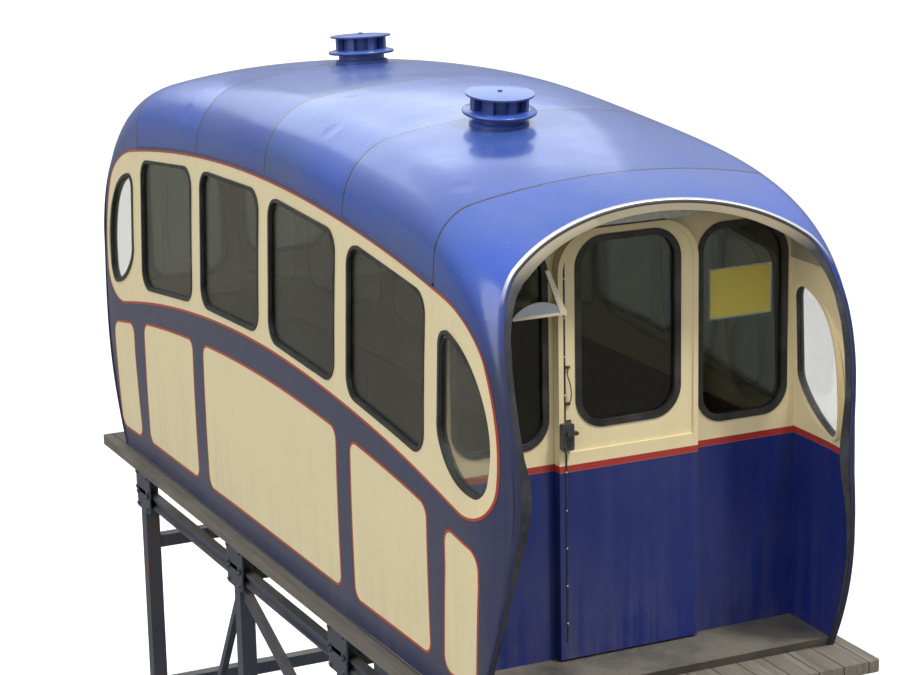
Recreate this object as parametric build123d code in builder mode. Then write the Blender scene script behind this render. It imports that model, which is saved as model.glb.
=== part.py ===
# Funicular car: a level passenger body on a wedge-shaped steel underframe.
# Millimetres, +Z up, +X uphill, Y across the track. The origin lies on the
# sloping rail plane, midway between the rails and midway between the wheelsets.
import os
from math import cos, hypot, radians, sin, sqrt

from build123d import *

os.makedirs("parts", exist_ok=True)

# Running gear. Heights marked N stand square to the rail plane.
GRADE_DEG = 33.0            # a 65 per cent incline
GRADE = radians(GRADE_DEG)
WHEEL_S = 2500.0            # wheelset distance from the origin, along the slope
TREAD_R = 250.0
FLANGE_R = 276.0
AXLE_R = 50.0
JOURNAL_R = 40.0
HUB_R = 85.0
HALF_GAUGE = 533.5          # rail centre, metre gauge class
BEAM_Y = 800.0              # centre of each inclined beam
BEAM_N0 = 320.0             # underside of the beam
BEAM_N1 = 500.0             # top of the beam
BEAM_W = 100.0
BEAM_WEB = 14.0
BEAM_FLANGE = 12.0
ROPE_N = 410.0              # line of the haulage rope pin

# Body. Heights on the body are measured from the floor.
FLOOR = 2230.0              # top of the floor above the origin
SKIRT = -50.0               # lower edge of the side panels
WALL = 32.0                 # thickness of sides, roof and end walls
PROUD = 7.0                 # how far beads and mouldings stand off the skin
SIDE_R = 22000.0            # tumblehome arc of the side
SIDE_Z = 700.0              # widest point
PITCH = 1050.0              # windows and roof seams
HOOD_X = 2100.0             # joint between the roof and the end hoods
END_X = 2164.0              # outer face of each end wall
RIM_X = 445.0               # centre of the rim arc in side view
RIM_Z = 1038.0
RIM_R = 2331.5
BEAD = 12.0                 # rubber trim along the rim
CANT_MID = 2206.0           # cant seam at midships and at the hood joint
CANT_END = 2068.0
HOOD_FOOT = 1840.0          # lower edge of the hood at its joint

LIGHT_Z = 1450.0            # mean height of the side glazing
WIN_W = 900.0
WIN_CORNER = 120.0
LIP = 20.0                  # width of a rubber surround on the glass
GLASS_T = 6.0

LIGHT_Y0 = 414.0            # lights in the end wall
LIGHT_Y1 = 900.0
LIGHT_Z0 = 1078.0
LIGHT_Z1 = 2044.0
LIGHT_CORNER = 130.0
LIGHT_FULL = 185.0          # fuller outer top corner
RUBBER_COVER = 12.0         # cover of a rubber over the metal round it
RUBBER_PROUD = 5.0
DOORWAY_HALF = 330.0
DOORWAY_TOP = 2050.0
DOOR_HALF = 377.0
DOOR_FOOT = 12.0
DOOR_TOP = 2110.0
DOOR_CORNER = 200.0
DOOR_T = 38.0
DOOR_GAP = 8.0              # the leaf hangs this far off the end wall
DOOR_LIGHT_W = 545.0
DOOR_LIGHT_H = 905.0
DOOR_LIGHT_Z = 1612.0
DOOR_LIGHT_R = 140.0
LEDGE_Z = 1045.0            # top of the raised lower panel of the door
PANEL_T = 10.0
STILE_W = 26.0              # raised moulding round the upper leaf
LATCH_Y = -344.0            # middle of the latch box on the leaf
LATCH_Z = 1130.0
LATCH_W = 64.0
LATCH_H = 132.0
LATCH_T = 30.0
LEVER_L = 60.0
LEVER_H = 20.0
LEVER_T = 16.0
KNOB_R = 13.0
HANGER_Y = 240.0            # roller hangers from the middle of the leaf
HANGER_W = 60.0
HANGER_H = 36.0
HANGER_T = 6.0
ROLLER_Z = 2144.0
ROLLER_R = 13.0
ROLLER_W = 22.0
TRACK_Z = 2152.0            # middle of the overhead track
TRACK_W = 66.0
TRACK_H = 62.0
TRACK_SLOT = 46.0           # clear width and height inside the track
TRACK_Y0 = -440.0           # shut end of the track, and its length
TRACK_L = 1300.0

SEAT_Z = 435.0
SEAT_Y = 680.0              # middle of a bench, and its width
SEAT_W = 400.0
BOARD_T = 20.0
SLAT_W = 66.0
SLAT_T = 24.0
SLAT_PITCH = 80.0
SLATS = 5
LAMP_R = 95.0               # base of a ceiling lamp
LAMP_BASE = 14.0
LAMP_LENS_R = 80.0
LAMP_LENS = 38.0
FLOOR_T = 50.0
DECK_T = 60.0
DECK_HALF = 1060.0
DECK_END = 2800.0
SOLE_END = 2600.0
SOLE_H = 180.0
SOLE_W = 90.0
SOLE_WEB = 10.0
SOLE_FLANGE = 15.0
SOLE_TOP = FLOOR + SKIRT - DECK_T
SOLE_BOT = SOLE_TOP - SOLE_H
RAIL_Z = FLOOR - 480.0      # long rail below the sole bar
LOW_END = 2800.0            # low end of the inclined beams
HAUL_S = 2880.0             # pin of the haulage rope, along the slope
TAIL_S = -3060.0            # pin of the tail rope
DRAWBAR_S = 1580.0          # foot of the drawbar
HAUL_EYE_R = 50.0
TAIL_EYE_R = 45.0
JOURNAL_END = 882.0
REACH = 3500.0              # half length of cutting solids, clear of the car

# Skin sections: x, half width uphill and downhill, shoulder radius, crown radius, crown height
SECTIONS = [
    {"x": 0.0, "half": 1000.0, "low_half": 1000.0, "shoulder": 350.0, "crown": 4000.0, "top": 2513.0},
    {"x": 1050.0, "half": 1000.0, "low_half": 1000.0, "shoulder": 360.0, "crown": 3800.0, "top": 2474.0},
    {"x": 2100.0, "half": 991.0, "low_half": 996.0, "shoulder": 254.0, "crown": 3726.0, "top": 2338.0},
    {"x": 2450.0, "half": 986.0, "low_half": 998.0, "shoulder": 282.0, "crown": 2228.0, "top": 2253.0},
    {"x": 2800.0, "half": 839.0, "low_half": 965.0, "shoulder": 802.0, "crown": 1050.0, "top": 1829.0},
]


def section_points(row, inset, bottom):
    """Foot, side middle, shoulder start, middle and end, and crown of a section."""
    shoulder = row["shoulder"] - inset
    crown = row["crown"] - inset
    top = row["top"] - inset
    side = SIDE_R - inset
    side_y = row["half"] - SIDE_R
    crown_z = top - crown
    span = hypot(side_y, SIDE_Z - crown_z)
    to_side = side - shoulder
    to_crown = crown - shoulder
    along = (to_side ** 2 - to_crown ** 2 + span ** 2) / (2 * span)
    across = sqrt(to_side ** 2 - along ** 2)
    ux = -side_y / span
    uz = (crown_z - SIDE_Z) / span
    cy = side_y + along * ux - across * uz
    cz = SIDE_Z + along * uz + across * ux
    start = (side_y + (cy - side_y) * side / to_side, SIDE_Z + (cz - SIDE_Z) * side / to_side)
    end = (cy * crown / to_crown, crown_z + (cz - crown_z) * crown / to_crown)
    mid_y = start[0] + end[0] - 2 * cy
    mid_z = start[1] + end[1] - 2 * cz
    size = hypot(mid_y, mid_z)
    middle = (cy + mid_y / size * shoulder, cz + mid_z / size * shoulder)
    foot = (side_y + sqrt(side ** 2 - (bottom - SIDE_Z) ** 2), bottom)
    waist_z = (bottom + start[1]) / 2
    waist = (side_y + sqrt(side ** 2 - (waist_z - SIDE_Z) ** 2), waist_z)
    return foot, waist, start, middle, end, (0.0, top)


def port(point):
    """The same point on the other side of the car."""
    return (-point[0], point[1])


def section_rows():
    """Sections in order from the downhill rim to the uphill rim."""
    low = [dict(row, x=-row["x"], half=row["low_half"]) for row in reversed(SECTIONS[1:])]
    return low + SECTIONS


def body_form(inset, bottom):
    """Solid loft of the whole body with its skin moved inwards by the inset."""
    with BuildPart() as form:
        for row in section_rows():
            foot, waist, start, middle, end, crown = section_points(row, inset, bottom)
            with BuildSketch(Plane(origin=(row["x"], 0, FLOOR), x_dir=(0, 1, 0), z_dir=(1, 0, 0))):
                with BuildLine():
                    Line(port(foot), foot)
                    ThreePointArc(foot, waist, start)
                    ThreePointArc(start, middle, end)
                    ThreePointArc(end, crown, port(end))
                    ThreePointArc(port(end), port(middle), port(start))
                    ThreePointArc(port(start), port(waist), port(foot))
                make_face()
        loft()
    return form.part


def rim_outline(grow):
    """Side view of the body: both rims are arcs that sweep back above and below."""
    radius = RIM_R + grow
    top_z = 2700.0
    foot_x = RIM_X + sqrt(radius ** 2 - (SKIRT - RIM_Z) ** 2)
    top_x = RIM_X + sqrt(radius ** 2 - (top_z - RIM_Z) ** 2)
    with BuildPart() as view:
        with BuildSketch(Plane.XZ.offset(-DECK_HALF)):
            with BuildLine():
                Line((-foot_x, FLOOR + SKIRT), (foot_x, FLOOR + SKIRT))
                ThreePointArc((foot_x, FLOOR + SKIRT), (RIM_X + radius, FLOOR + RIM_Z), (top_x, FLOOR + top_z))
                Line((top_x, FLOOR + top_z), (-top_x, FLOOR + top_z))
                ThreePointArc((-top_x, FLOOR + top_z), (-RIM_X - radius, FLOOR + RIM_Z), (-foot_x, FLOOR + SKIRT))
            make_face()
        extrude(amount=2 * DECK_HALF)
    return view.part


def inner_crown(x):
    """Approximate height of the ceiling at x, by an arc through the first three sections."""
    first, second, third = [row["top"] for row in SECTIONS[:3]]
    bend = (third - 2 * second + first) / (2 * PITCH ** 2)
    slant = (second - first) / PITCH - bend * PITCH
    return first + slant * abs(x) + bend * x * x - WALL


def head_z(x):
    """Window head, following the arch of the roof."""
    return 1989.0 - 0.034 * x * x / 1000.0


def sill_z(x):
    """Window sill, following the arch of the waist."""
    return 1203.0 - 0.036 * x * x / 1000.0


WINDOWS = [-1.5 * PITCH, -0.5 * PITCH, 0.5 * PITCH, 1.5 * PITCH]

# Quarter light outline from its top rear corner: x and height at each arc's ends and middle
QUARTER_ARCS = [
    {"start": (2180.0, 1640.0), "middle": (2204.0, 1706.0), "end": (2264.0, 1730.0)},
    {"start": (2264.0, 1730.0), "middle": (2494.0, 1616.0), "end": (2646.0, 1118.0)},
    {"start": (2646.0, 1118.0), "middle": (2610.0, 1043.0), "end": (2535.0, 1004.0)},
    {"start": (2535.0, 1004.0), "middle": (2368.0, 1054.0), "end": (2205.0, 1200.0)},
    {"start": (2205.0, 1200.0), "middle": (2186.0, 1240.0), "end": (2180.0, 1300.0)},
]


def side_lights(inset):
    """Outlines of the four windows and two quarter lights, extruded across the car."""
    with BuildPart() as prism:
        with BuildSketch(Plane.XZ):
            for middle in WINDOWS:
                x0 = middle - WIN_W / 2 + inset
                x1 = middle + WIN_W / 2 - inset
                with BuildLine() as frame:
                    Polyline(
                        (x0, FLOOR + sill_z(x0) + inset),
                        (x1, FLOOR + sill_z(x1) + inset),
                        (x1, FLOOR + head_z(x1) - inset),
                        (x0, FLOOR + head_z(x0) - inset),
                        close=True,
                    )
                    fillet(frame.vertices(), WIN_CORNER - inset)
                make_face()
            for end in (-1, 1):
                with BuildLine():
                    first = QUARTER_ARCS[0]["start"]
                    last = QUARTER_ARCS[-1]["end"]
                    Line((end * last[0], FLOOR + last[1]), (end * first[0], FLOOR + first[1]))
                    for arc in QUARTER_ARCS:
                        ThreePointArc(*[(end * arc[k][0], FLOOR + arc[k][1]) for k in ("start", "middle", "end")])
                    if inset:
                        offset(amount=-inset, mode=Mode.REPLACE)
                make_face()
        extrude(amount=1300, both=True)
    return prism.part


def side_band(side, outer, inner):
    """Upright strip along one side wall between two depths behind the skin."""
    lean = (LIGHT_Z - SIDE_Z) / SIDE_R
    drop = (LIGHT_Z - SIDE_Z) ** 2 / (2 * SIDE_R)
    rows = section_rows()
    with BuildPart() as band:
        tilt = Plane(origin=(0, 0, FLOOR + LIGHT_Z), x_dir=(1, 0, 0), z_dir=(0, -side * sin(lean), cos(lean)))
        with BuildSketch(tilt):
            with BuildLine():
                near = Spline(*[(row["x"], side * (row["half"] - drop - outer)) for row in rows])
                far = Spline(*[(row["x"], side * (row["half"] - drop - inner)) for row in rows])
                Line(near @ 0, far @ 0)
                Line(near @ 1, far @ 1)
            make_face()
        extrude(amount=620, both=True)
    return band.part


outer = body_form(0.0, SKIRT)
inner = body_form(WALL, SKIRT - 20)
proud = body_form(-PROUD, SKIRT)
side_view = rim_outline(0.0)
openings = side_lights(0.0)
glass_outline = side_lights(LIP)

# Region below the arched cant seam, dropping to the foot of the hood at each end
with BuildPart() as below_cant:
    with BuildSketch(Plane.XZ.offset(-DECK_HALF)):
        with BuildLine():
            Polyline(
                (HOOD_X, FLOOR + CANT_END),
                (HOOD_X, FLOOR + HOOD_FOOT),
                (REACH, FLOOR + HOOD_FOOT),
                (REACH, FLOOR - 200),
                (-REACH, FLOOR - 200),
                (-REACH, FLOOR + HOOD_FOOT),
                (-HOOD_X, FLOOR + HOOD_FOOT),
                (-HOOD_X, FLOOR + CANT_END),
            )
            ThreePointArc((-HOOD_X, FLOOR + CANT_END), (0, FLOOR + CANT_MID), (HOOD_X, FLOOR + CANT_END))
        make_face()
    extrude(amount=2 * DECK_HALF)

with BuildPart() as skin:
    add(outer)
    add(side_view, mode=Mode.INTERSECT)
    add(inner, mode=Mode.SUBTRACT)
    add(openings, mode=Mode.SUBTRACT)

# Side panels, from rim to rim and from the skirt to the cant seam
for name, keep in (("side_panel_left", Keep.TOP), ("side_panel_right", Keep.BOTTOM)):
    with BuildPart() as side_panel:
        add(skin.part)
        add(below_cant.part, mode=Mode.INTERSECT)
        split(bisect_by=Plane.XZ, keep=keep)
    side_panel.part.label = name
    export_step(side_panel.part, f"parts/{name}.step")

# Roof between the hood joints, and the hood over each porch
with BuildPart() as upper_skin:
    add(skin.part)
    add(below_cant.part, mode=Mode.SUBTRACT)

with BuildPart() as roof_panels:
    add(upper_skin.part)
    split(bisect_by=Plane.YZ.offset(-HOOD_X), keep=Keep.TOP)
    split(bisect_by=Plane.YZ.offset(HOOD_X), keep=Keep.BOTTOM)
roof_panels.part.label = "roof_panels"
export_step(roof_panels.part, "parts/roof_panels.step")

for name, joint, keep in (
    ("hood_uphill", Plane.YZ.offset(HOOD_X), Keep.TOP),
    ("hood_downhill", Plane.YZ.offset(-HOOD_X), Keep.BOTTOM),
):
    with BuildPart() as hood:
        add(upper_skin.part)
        split(bisect_by=joint, keep=keep)
    hood.part.label = name
    export_step(hood.part, f"parts/{name}.step")

# Rim trim: a strip that caps the cut edge of the skin all round each porch
with BuildPart() as rim_beads:
    add(proud)
    add(rim_outline(BEAD), mode=Mode.INTERSECT)
    add(side_view, mode=Mode.SUBTRACT)
    add(inner, mode=Mode.SUBTRACT)
rim_beads.part.label = "rim_beads"
export_step(rim_beads.part, "parts/rim_beads.step")

# Drip moulding over the windows of each side, from hood to hood
DRIP_H = 16.0
DRIP_RISE = 2068.0          # underside at midships
DRIP_FALL = 1900.0          # underside at the hood joints
with BuildPart() as drip_mouldings:
    with BuildSketch(Plane.XZ.offset(-DECK_HALF)):
        with BuildLine():
            for z in (0.0, DRIP_H):
                ThreePointArc(
                    (-HOOD_X, FLOOR + DRIP_FALL + z), (0, FLOOR + DRIP_RISE + z), (HOOD_X, FLOOR + DRIP_FALL + z)
                )
            for x in (-HOOD_X, HOOD_X):
                Line((x, FLOOR + DRIP_FALL), (x, FLOOR + DRIP_FALL + DRIP_H))
        make_face()
    extrude(amount=2 * DECK_HALF)
    add(proud, mode=Mode.INTERSECT)
    add(outer, mode=Mode.SUBTRACT)
drip_mouldings.part.label = "drip_mouldings"
export_step(drip_mouldings.part, "parts/drip_mouldings.step")

# Side glazing: a rubber surround lines each opening and the glass sits in it
for name, side in (("left", -1), ("right", 1)):
    with BuildPart() as window_rubber:
        add(side_band(side, -5.0, WALL + 5.0))
        add(openings, mode=Mode.INTERSECT)
        add(glass_outline, mode=Mode.SUBTRACT)
    window_rubber.part.label = f"window_rubber_{name}"
    export_step(window_rubber.part, f"parts/window_rubber_{name}.step")

    with BuildPart() as side_glass:
        add(side_band(side, WALL / 2 - GLASS_T / 2, WALL / 2 + GLASS_T / 2))
        add(glass_outline, mode=Mode.INTERSECT)
    side_glass.part.label = f"side_glass_{name}"
    export_step(side_glass.part, f"parts/side_glass_{name}.step")


def is_outer_top(vertex):
    """Whether a corner of an end light is its outer top one."""
    return abs(vertex.X) > (LIGHT_Y0 + LIGHT_Y1) / 2 and vertex.Y > LIGHT_Z


def end_light(grow):
    """Outline of the two lights of an end wall: the outer top corner is fuller."""
    with BuildSketch() as lights:
        for hand in (-1, 1):
            y0 = hand * (LIGHT_Y0 - grow)
            y1 = hand * (LIGHT_Y1 + grow)
            with BuildLine() as edge:
                Polyline(
                    (y0, LIGHT_Z0 - grow),
                    (y1, LIGHT_Z0 - grow),
                    (y1, LIGHT_Z1 + grow),
                    (y0, LIGHT_Z1 + grow),
                    close=True,
                )
                full = edge.vertices().filter_by(is_outer_top)
                plain = edge.vertices().filter_by(lambda v: not is_outer_top(v))
                fillet(full, LIGHT_FULL + grow)
                fillet(plain, LIGHT_CORNER + grow)
            make_face()
    return lights.sketch


def door_outline(shrink):
    """Outline of a door leaf, square at the foot and rounded at the head."""
    half = DOOR_HALF - shrink
    with BuildSketch() as leaf_face:
        with BuildLine() as edge:
            Polyline(
                (-half, DOOR_FOOT),
                (half, DOOR_FOOT),
                (half, DOOR_TOP - shrink),
                (-half, DOOR_TOP - shrink),
                close=True,
            )
            fillet(edge.vertices().filter_by(lambda v: v.Y > DOOR_FOOT + 1), DOOR_CORNER - shrink)
        make_face()
    return leaf_face.sketch


def door_light(grow):
    """Outline of the light in a door leaf."""
    with BuildSketch() as light:
        with Locations((0, DOOR_LIGHT_Z)):
            RectangleRounded(DOOR_LIGHT_W + 2 * grow, DOOR_LIGHT_H + 2 * grow, DOOR_LIGHT_R + grow)
    return light.sketch


for name, side in (("uphill", 1), ("downhill", -1)):
    face = Plane(origin=(side * END_X, 0, FLOOR), x_dir=(0, side, 0), z_dir=(side, 0, 0))

    # End wall with its doorway and two lights
    with BuildPart() as end_wall:
        with BuildSketch(face):
            with Locations((0, DOOR_TOP)):
                Rectangle(2 * DECK_HALF, 2 * DOOR_TOP)
            with Locations((0, DOORWAY_TOP / 2)):
                Rectangle(2 * DOORWAY_HALF, DOORWAY_TOP, mode=Mode.SUBTRACT)
            add(end_light(0.0), mode=Mode.SUBTRACT)
        extrude(amount=-WALL)
        add(inner, mode=Mode.INTERSECT)
    end_wall.part.label = f"end_wall_{name}"
    export_step(end_wall.part, f"parts/end_wall_{name}.step")

    with BuildPart() as end_glass:
        with BuildSketch(face.offset((GLASS_T - WALL) / 2)):
            add(end_light(-LIP))
        extrude(amount=-GLASS_T)
    end_glass.part.label = f"end_glass_{name}"
    export_step(end_glass.part, f"parts/end_glass_{name}.step")

    with BuildPart() as end_rubber:
        with BuildSketch(face.offset(RUBBER_PROUD)):
            add(end_light(RUBBER_COVER))
            add(end_light(-LIP), mode=Mode.SUBTRACT)
        extrude(amount=-WALL - 2 * RUBBER_PROUD)
        add(end_wall.part, mode=Mode.SUBTRACT)
    end_rubber.part.label = f"end_rubber_{name}"
    export_step(end_rubber.part, f"parts/end_rubber_{name}.step")

    # Sliding door: a leaf with a raised lower panel and a moulding over its head, on two rollers
    leaf = face.offset(DOOR_GAP)
    with BuildPart() as door:
        with BuildSketch(leaf):
            add(door_outline(0.0))
            add(door_light(0.0), mode=Mode.SUBTRACT)
        extrude(amount=DOOR_T)
        with BuildSketch(leaf.offset(DOOR_T)):
            add(door_outline(0.0))
            add(door_outline(STILE_W), mode=Mode.SUBTRACT)
            with Locations((0, (DOOR_FOOT + LEDGE_Z) / 2)):
                Rectangle(2 * DOOR_HALF, LEDGE_Z - DOOR_FOOT)
        extrude(amount=PANEL_T)
        with BuildSketch(leaf.offset(DOOR_T + PANEL_T)):
            with Locations((LATCH_Y, LATCH_Z)):
                RectangleRounded(LATCH_W, LATCH_H, 12)
        extrude(amount=LATCH_T)
        with BuildSketch(leaf.offset(DOOR_T + PANEL_T + LATCH_T)):
            with Locations((LATCH_Y, LATCH_Z + LEVER_H)):
                Circle(KNOB_R)
            with Locations((LATCH_Y + LEVER_L / 2 - KNOB_R, LATCH_Z + LEVER_H)):
                RectangleRounded(LEVER_L, LEVER_H, LEVER_H / 2 - 1)
        extrude(amount=LEVER_T)
        for hand in (-1, 1):
            with BuildSketch(leaf.offset((DOOR_T - HANGER_T) / 2)):
                with Locations((hand * HANGER_Y, DOOR_TOP + HANGER_H / 3)):
                    Rectangle(HANGER_W, HANGER_H)
            extrude(amount=HANGER_T)
            with BuildSketch(leaf.offset((DOOR_T - ROLLER_W) / 2)):
                with Locations((hand * HANGER_Y, ROLLER_Z)):
                    Circle(ROLLER_R)
            extrude(amount=ROLLER_W)
    door.part.label = f"door_{name}"
    export_step(door.part, f"parts/door_{name}.step")

    with BuildPart() as door_glass:
        with BuildSketch(leaf.offset((DOOR_T - GLASS_T) / 2)):
            add(door_light(-LIP))
        extrude(amount=GLASS_T)
    door_glass.part.label = f"door_glass_{name}"
    export_step(door_glass.part, f"parts/door_glass_{name}.step")

    with BuildPart() as door_rubber:
        with BuildSketch(leaf.offset(-2)):
            add(door_light(RUBBER_COVER))
            add(door_light(-LIP), mode=Mode.SUBTRACT)
        extrude(amount=DOOR_T + 2 + RUBBER_PROUD)
        add(door.part, mode=Mode.SUBTRACT)
    door_rubber.part.label = f"door_rubber_{name}"
    export_step(door_rubber.part, f"parts/door_rubber_{name}.step")

    # Overhead track: a channel along the end wall in which the rollers run
    with BuildPart() as door_track:
        with BuildSketch(Plane(origin=(0, side * TRACK_Y0, FLOOR), x_dir=(side, 0, 0), z_dir=(0, side, 0))):
            with Locations((END_X + TRACK_W / 2, -TRACK_Z)):
                Rectangle(TRACK_W, TRACK_H)
            with Locations((END_X + DOOR_GAP + DOOR_T / 2, -TRACK_Z + (TRACK_H - TRACK_SLOT) / 2)):
                Rectangle(TRACK_SLOT, TRACK_SLOT, mode=Mode.SUBTRACT)
        extrude(amount=TRACK_L)
        add(inner, mode=Mode.INTERSECT)
    door_track.part.label = f"door_track_{name}"
    export_step(door_track.part, f"parts/door_track_{name}.step")

# Floor inside the skin, from rim to rim, and the deck plate that carries the body
with BuildPart() as floor:
    with BuildSketch(Plane.XY.offset(FLOOR - FLOOR_T)):
        Rectangle(2 * REACH, 2 * DECK_HALF)
    extrude(amount=FLOOR_T)
    add(inner, mode=Mode.INTERSECT)
    add(side_view, mode=Mode.INTERSECT)
floor.part.label = "floor"
export_step(floor.part, "parts/floor.step")

with BuildPart() as deck_plate:
    with BuildSketch(Plane.XY.offset(SOLE_TOP)):
        Rectangle(2 * DECK_END, 2 * DECK_HALF)
    extrude(amount=DECK_T)
    chamfer(deck_plate.edges().filter_by(Axis.Z), 12)
deck_plate.part.label = "deck_plate"
export_step(deck_plate.part, "parts/deck_plate.step")

# Benches along both sides: slats on a board, with a boarded front
BENCH_L = 2 * (END_X - WALL) - 20
for name, side in (("left", -1), ("right", 1)):
    with BuildPart() as bench:
        with Locations((0, side * SEAT_Y, FLOOR + SEAT_Z - BOARD_T / 2)):
            Box(BENCH_L, SEAT_W, BOARD_T)
        for k in range(SLATS):
            slat_y = SEAT_Y - (SEAT_W - SLAT_W) / 2 + 3 + k * SLAT_PITCH
            with Locations((0, side * slat_y, FLOOR + SEAT_Z + SLAT_T / 2)):
                Box(BENCH_L, SLAT_W, SLAT_T)
        with Locations((0, side * (SEAT_Y - SEAT_W / 2 + 1.5 * BOARD_T), FLOOR + (SEAT_Z - BOARD_T) / 2)):
            Box(BENCH_L, BOARD_T, SEAT_Z - BOARD_T)
    bench.part.label = f"bench_{name}"
    export_step(bench.part, f"parts/bench_{name}.step")

# Ceiling lamps, with bases cut to the slope of the roof
with BuildPart() as ceiling_lamps:
    for x in (-1.5 * PITCH, 0.0, 1.5 * PITCH):
        base_z = FLOOR + inner_crown(x) - LAMP_BASE
        with BuildSketch(Plane.XY.offset(base_z)):
            with Locations((x, 0)):
                Circle(LAMP_R)
        extrude(amount=3 * LAMP_BASE)
        with BuildSketch(Plane.XY.offset(base_z)):
            with Locations((x, 0)):
                Circle(LAMP_LENS_R)
        extrude(amount=-LAMP_LENS, taper=28)
    add(inner, mode=Mode.INTERSECT)
ceiling_lamps.part.label = "ceiling_lamps"
export_step(ceiling_lamps.part, "parts/ceiling_lamps.step")

# Blank notice board against the glass of the right light of the uphill end wall
NOTICE_Y = 655.0
NOTICE_Z = 1698.0
NOTICE_W = 336.0
NOTICE_H = 236.0
NOTICE_T = 4.0
with BuildPart() as notice_board:
    glass_back = END_X - (WALL + GLASS_T) / 2
    with BuildSketch(Plane(origin=(glass_back - NOTICE_T, 0, FLOOR), x_dir=(0, 1, 0), z_dir=(1, 0, 0))):
        with Locations((NOTICE_Y, NOTICE_Z)):
            Rectangle(NOTICE_W, NOTICE_H)
    extrude(amount=NOTICE_T)
notice_board.part.label = "notice_board"
export_step(notice_board.part, "parts/notice_board.step")

# Mirror on a triangular bracket that stands off the wall beside the uphill door
MIRROR_Z = 1752.0           # height of the arm
MIRROR_Y = -400.0           # outer face of the stand-off bar
MIRROR_OUT = 160.0          # stand-off from the end wall
BAR_W = 14.0
BAR_H = 30.0
ARM_L = 262.0
ARM_H = 12.0
STAY_RISE = 208.0
STAY_RUN = 94.0
STAY_W = 20.0
PLATE_H = 64.0              # the mirror plate fills the foot of the triangle
with BuildPart() as mirror_bracket:
    with BuildSketch(Plane(origin=(END_X, 0, FLOOR), x_dir=(0, 1, 0), z_dir=(1, 0, 0))):
        with Locations((MIRROR_Y + BAR_W / 2, MIRROR_Z + 4)):
            Rectangle(BAR_W, BAR_H)
    extrude(amount=MIRROR_OUT)
    triangle = Plane(
        origin=(END_X + MIRROR_OUT - ARM_H, MIRROR_Y, FLOOR + MIRROR_Z), x_dir=(0, 1, 0), z_dir=(1, 0, 0)
    )
    with BuildSketch(triangle):
        with BuildLine():
            Polyline(
                (8, -ARM_H / 2),
                (8, STAY_W),
                (-STAY_RUN + STAY_W, STAY_RISE + 8),
                (-STAY_RUN, STAY_RISE),
                (-STAY_W, ARM_H / 2),
                (-ARM_L, ARM_H / 2),
                (-ARM_L, -ARM_H / 2),
                close=True,
            )
        make_face()
    extrude(amount=ARM_H)
    with BuildSketch(triangle.offset(4)):
        with BuildLine():
            Polyline((-STAY_W, ARM_H / 2), (-ARM_L, ARM_H / 2))
            ThreePointArc((-ARM_L, ARM_H / 2), (-0.6 * ARM_L, PLATE_H), (-STAY_W, PLATE_H / 2))
            Line((-STAY_W, PLATE_H / 2), (-STAY_W, ARM_H / 2))
        make_face()
    extrude(amount=4)
mirror_bracket.part.label = "mirror_bracket"
export_step(mirror_bracket.part, "parts/mirror_bracket.step")

# Roof ventilators: a curb and neck, a rounded flange, a drum of upright vanes and a flat cap
CURB_R = 150.0
CURB_H = 14.0
NECK_R = 130.0
FLANGE_Z = 52.0
FLANGE_EDGE_R = 187.0
FLANGE_H = 24.0
DRUM_R = 148.0
CORE_R = 112.0
CAP_Z = 146.0
CAP_R = 172.0
CAP_T = 9.0
CAP_RISE = 9.0
VANES = 8
VANE_W = 34.0
ROOT = -60.0                # the curb reaches into the roof and is cut off at the skin
with BuildPart() as ventilator:
    with BuildSketch(Plane.XZ):
        with BuildLine():
            Polyline(
                (0, ROOT),
                (CURB_R, ROOT),
                (CURB_R, CURB_H),
                (NECK_R, CURB_H + 8),
                (NECK_R, FLANGE_Z),
                (FLANGE_EDGE_R - 6, FLANGE_Z),
            )
            ThreePointArc(
                (FLANGE_EDGE_R - 6, FLANGE_Z),
                (FLANGE_EDGE_R, FLANGE_Z + FLANGE_H / 3),
                (FLANGE_EDGE_R - 8, FLANGE_Z + 0.75 * FLANGE_H),
            )
            Polyline(
                (FLANGE_EDGE_R - 8, FLANGE_Z + 0.75 * FLANGE_H),
                (DRUM_R + 6, FLANGE_Z + FLANGE_H),
                (CORE_R, FLANGE_Z + FLANGE_H),
                (CORE_R, CAP_Z),
                (CAP_R, CAP_Z),
                (CAP_R, CAP_Z + CAP_T),
            )
            ThreePointArc(
                (CAP_R, CAP_Z + CAP_T),
                (CAP_R / 2, CAP_Z + CAP_T + 0.75 * CAP_RISE),
                (0, CAP_Z + CAP_T + CAP_RISE),
            )
            Line((0, CAP_Z + CAP_T + CAP_RISE), (0, ROOT))
        make_face()
    revolve(axis=Axis.Z)
    vane_h = CAP_Z - FLANGE_Z - FLANGE_H + 4
    with PolarLocations(DRUM_R - 16, VANES):
        with Locations((0, 0, CAP_Z + 2 - vane_h / 2)):
            Box(32, VANE_W, vane_h)
    with Locations((0, 0, CAP_Z + CAP_T + CAP_RISE)):
        Cylinder(12, 12)

# x and y of each ventilator, and its tilt with the roof
VENTILATORS = [
    {"x": 1200.0, "y": -165.0, "tilt": 6.0},
    {"x": -980.0, "y": 40.0, "tilt": -4.0},
]
with BuildPart() as roof_ventilators:
    for row in VENTILATORS:
        roof_z = FLOOR + inner_crown(row["x"]) + WALL - row["y"] ** 2 / (2 * SECTIONS[1]["crown"])
        with Locations(Location((row["x"], row["y"], roof_z), (0, row["tilt"], 0))):
            add(ventilator.part)
    add(outer, mode=Mode.SUBTRACT)
roof_ventilators.part.label = "roof_ventilators"
export_step(roof_ventilators.part, "parts/roof_ventilators.step")

# Wedge underframe
slope = Plane(origin=(0, 0, 0), x_dir=(0, 1, 0), z_dir=(cos(GRADE), 0, sin(GRADE)))
BEAM_N = (BEAM_N0 + BEAM_N1) / 2
BEAM_H = BEAM_N1 - BEAM_N0


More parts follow.
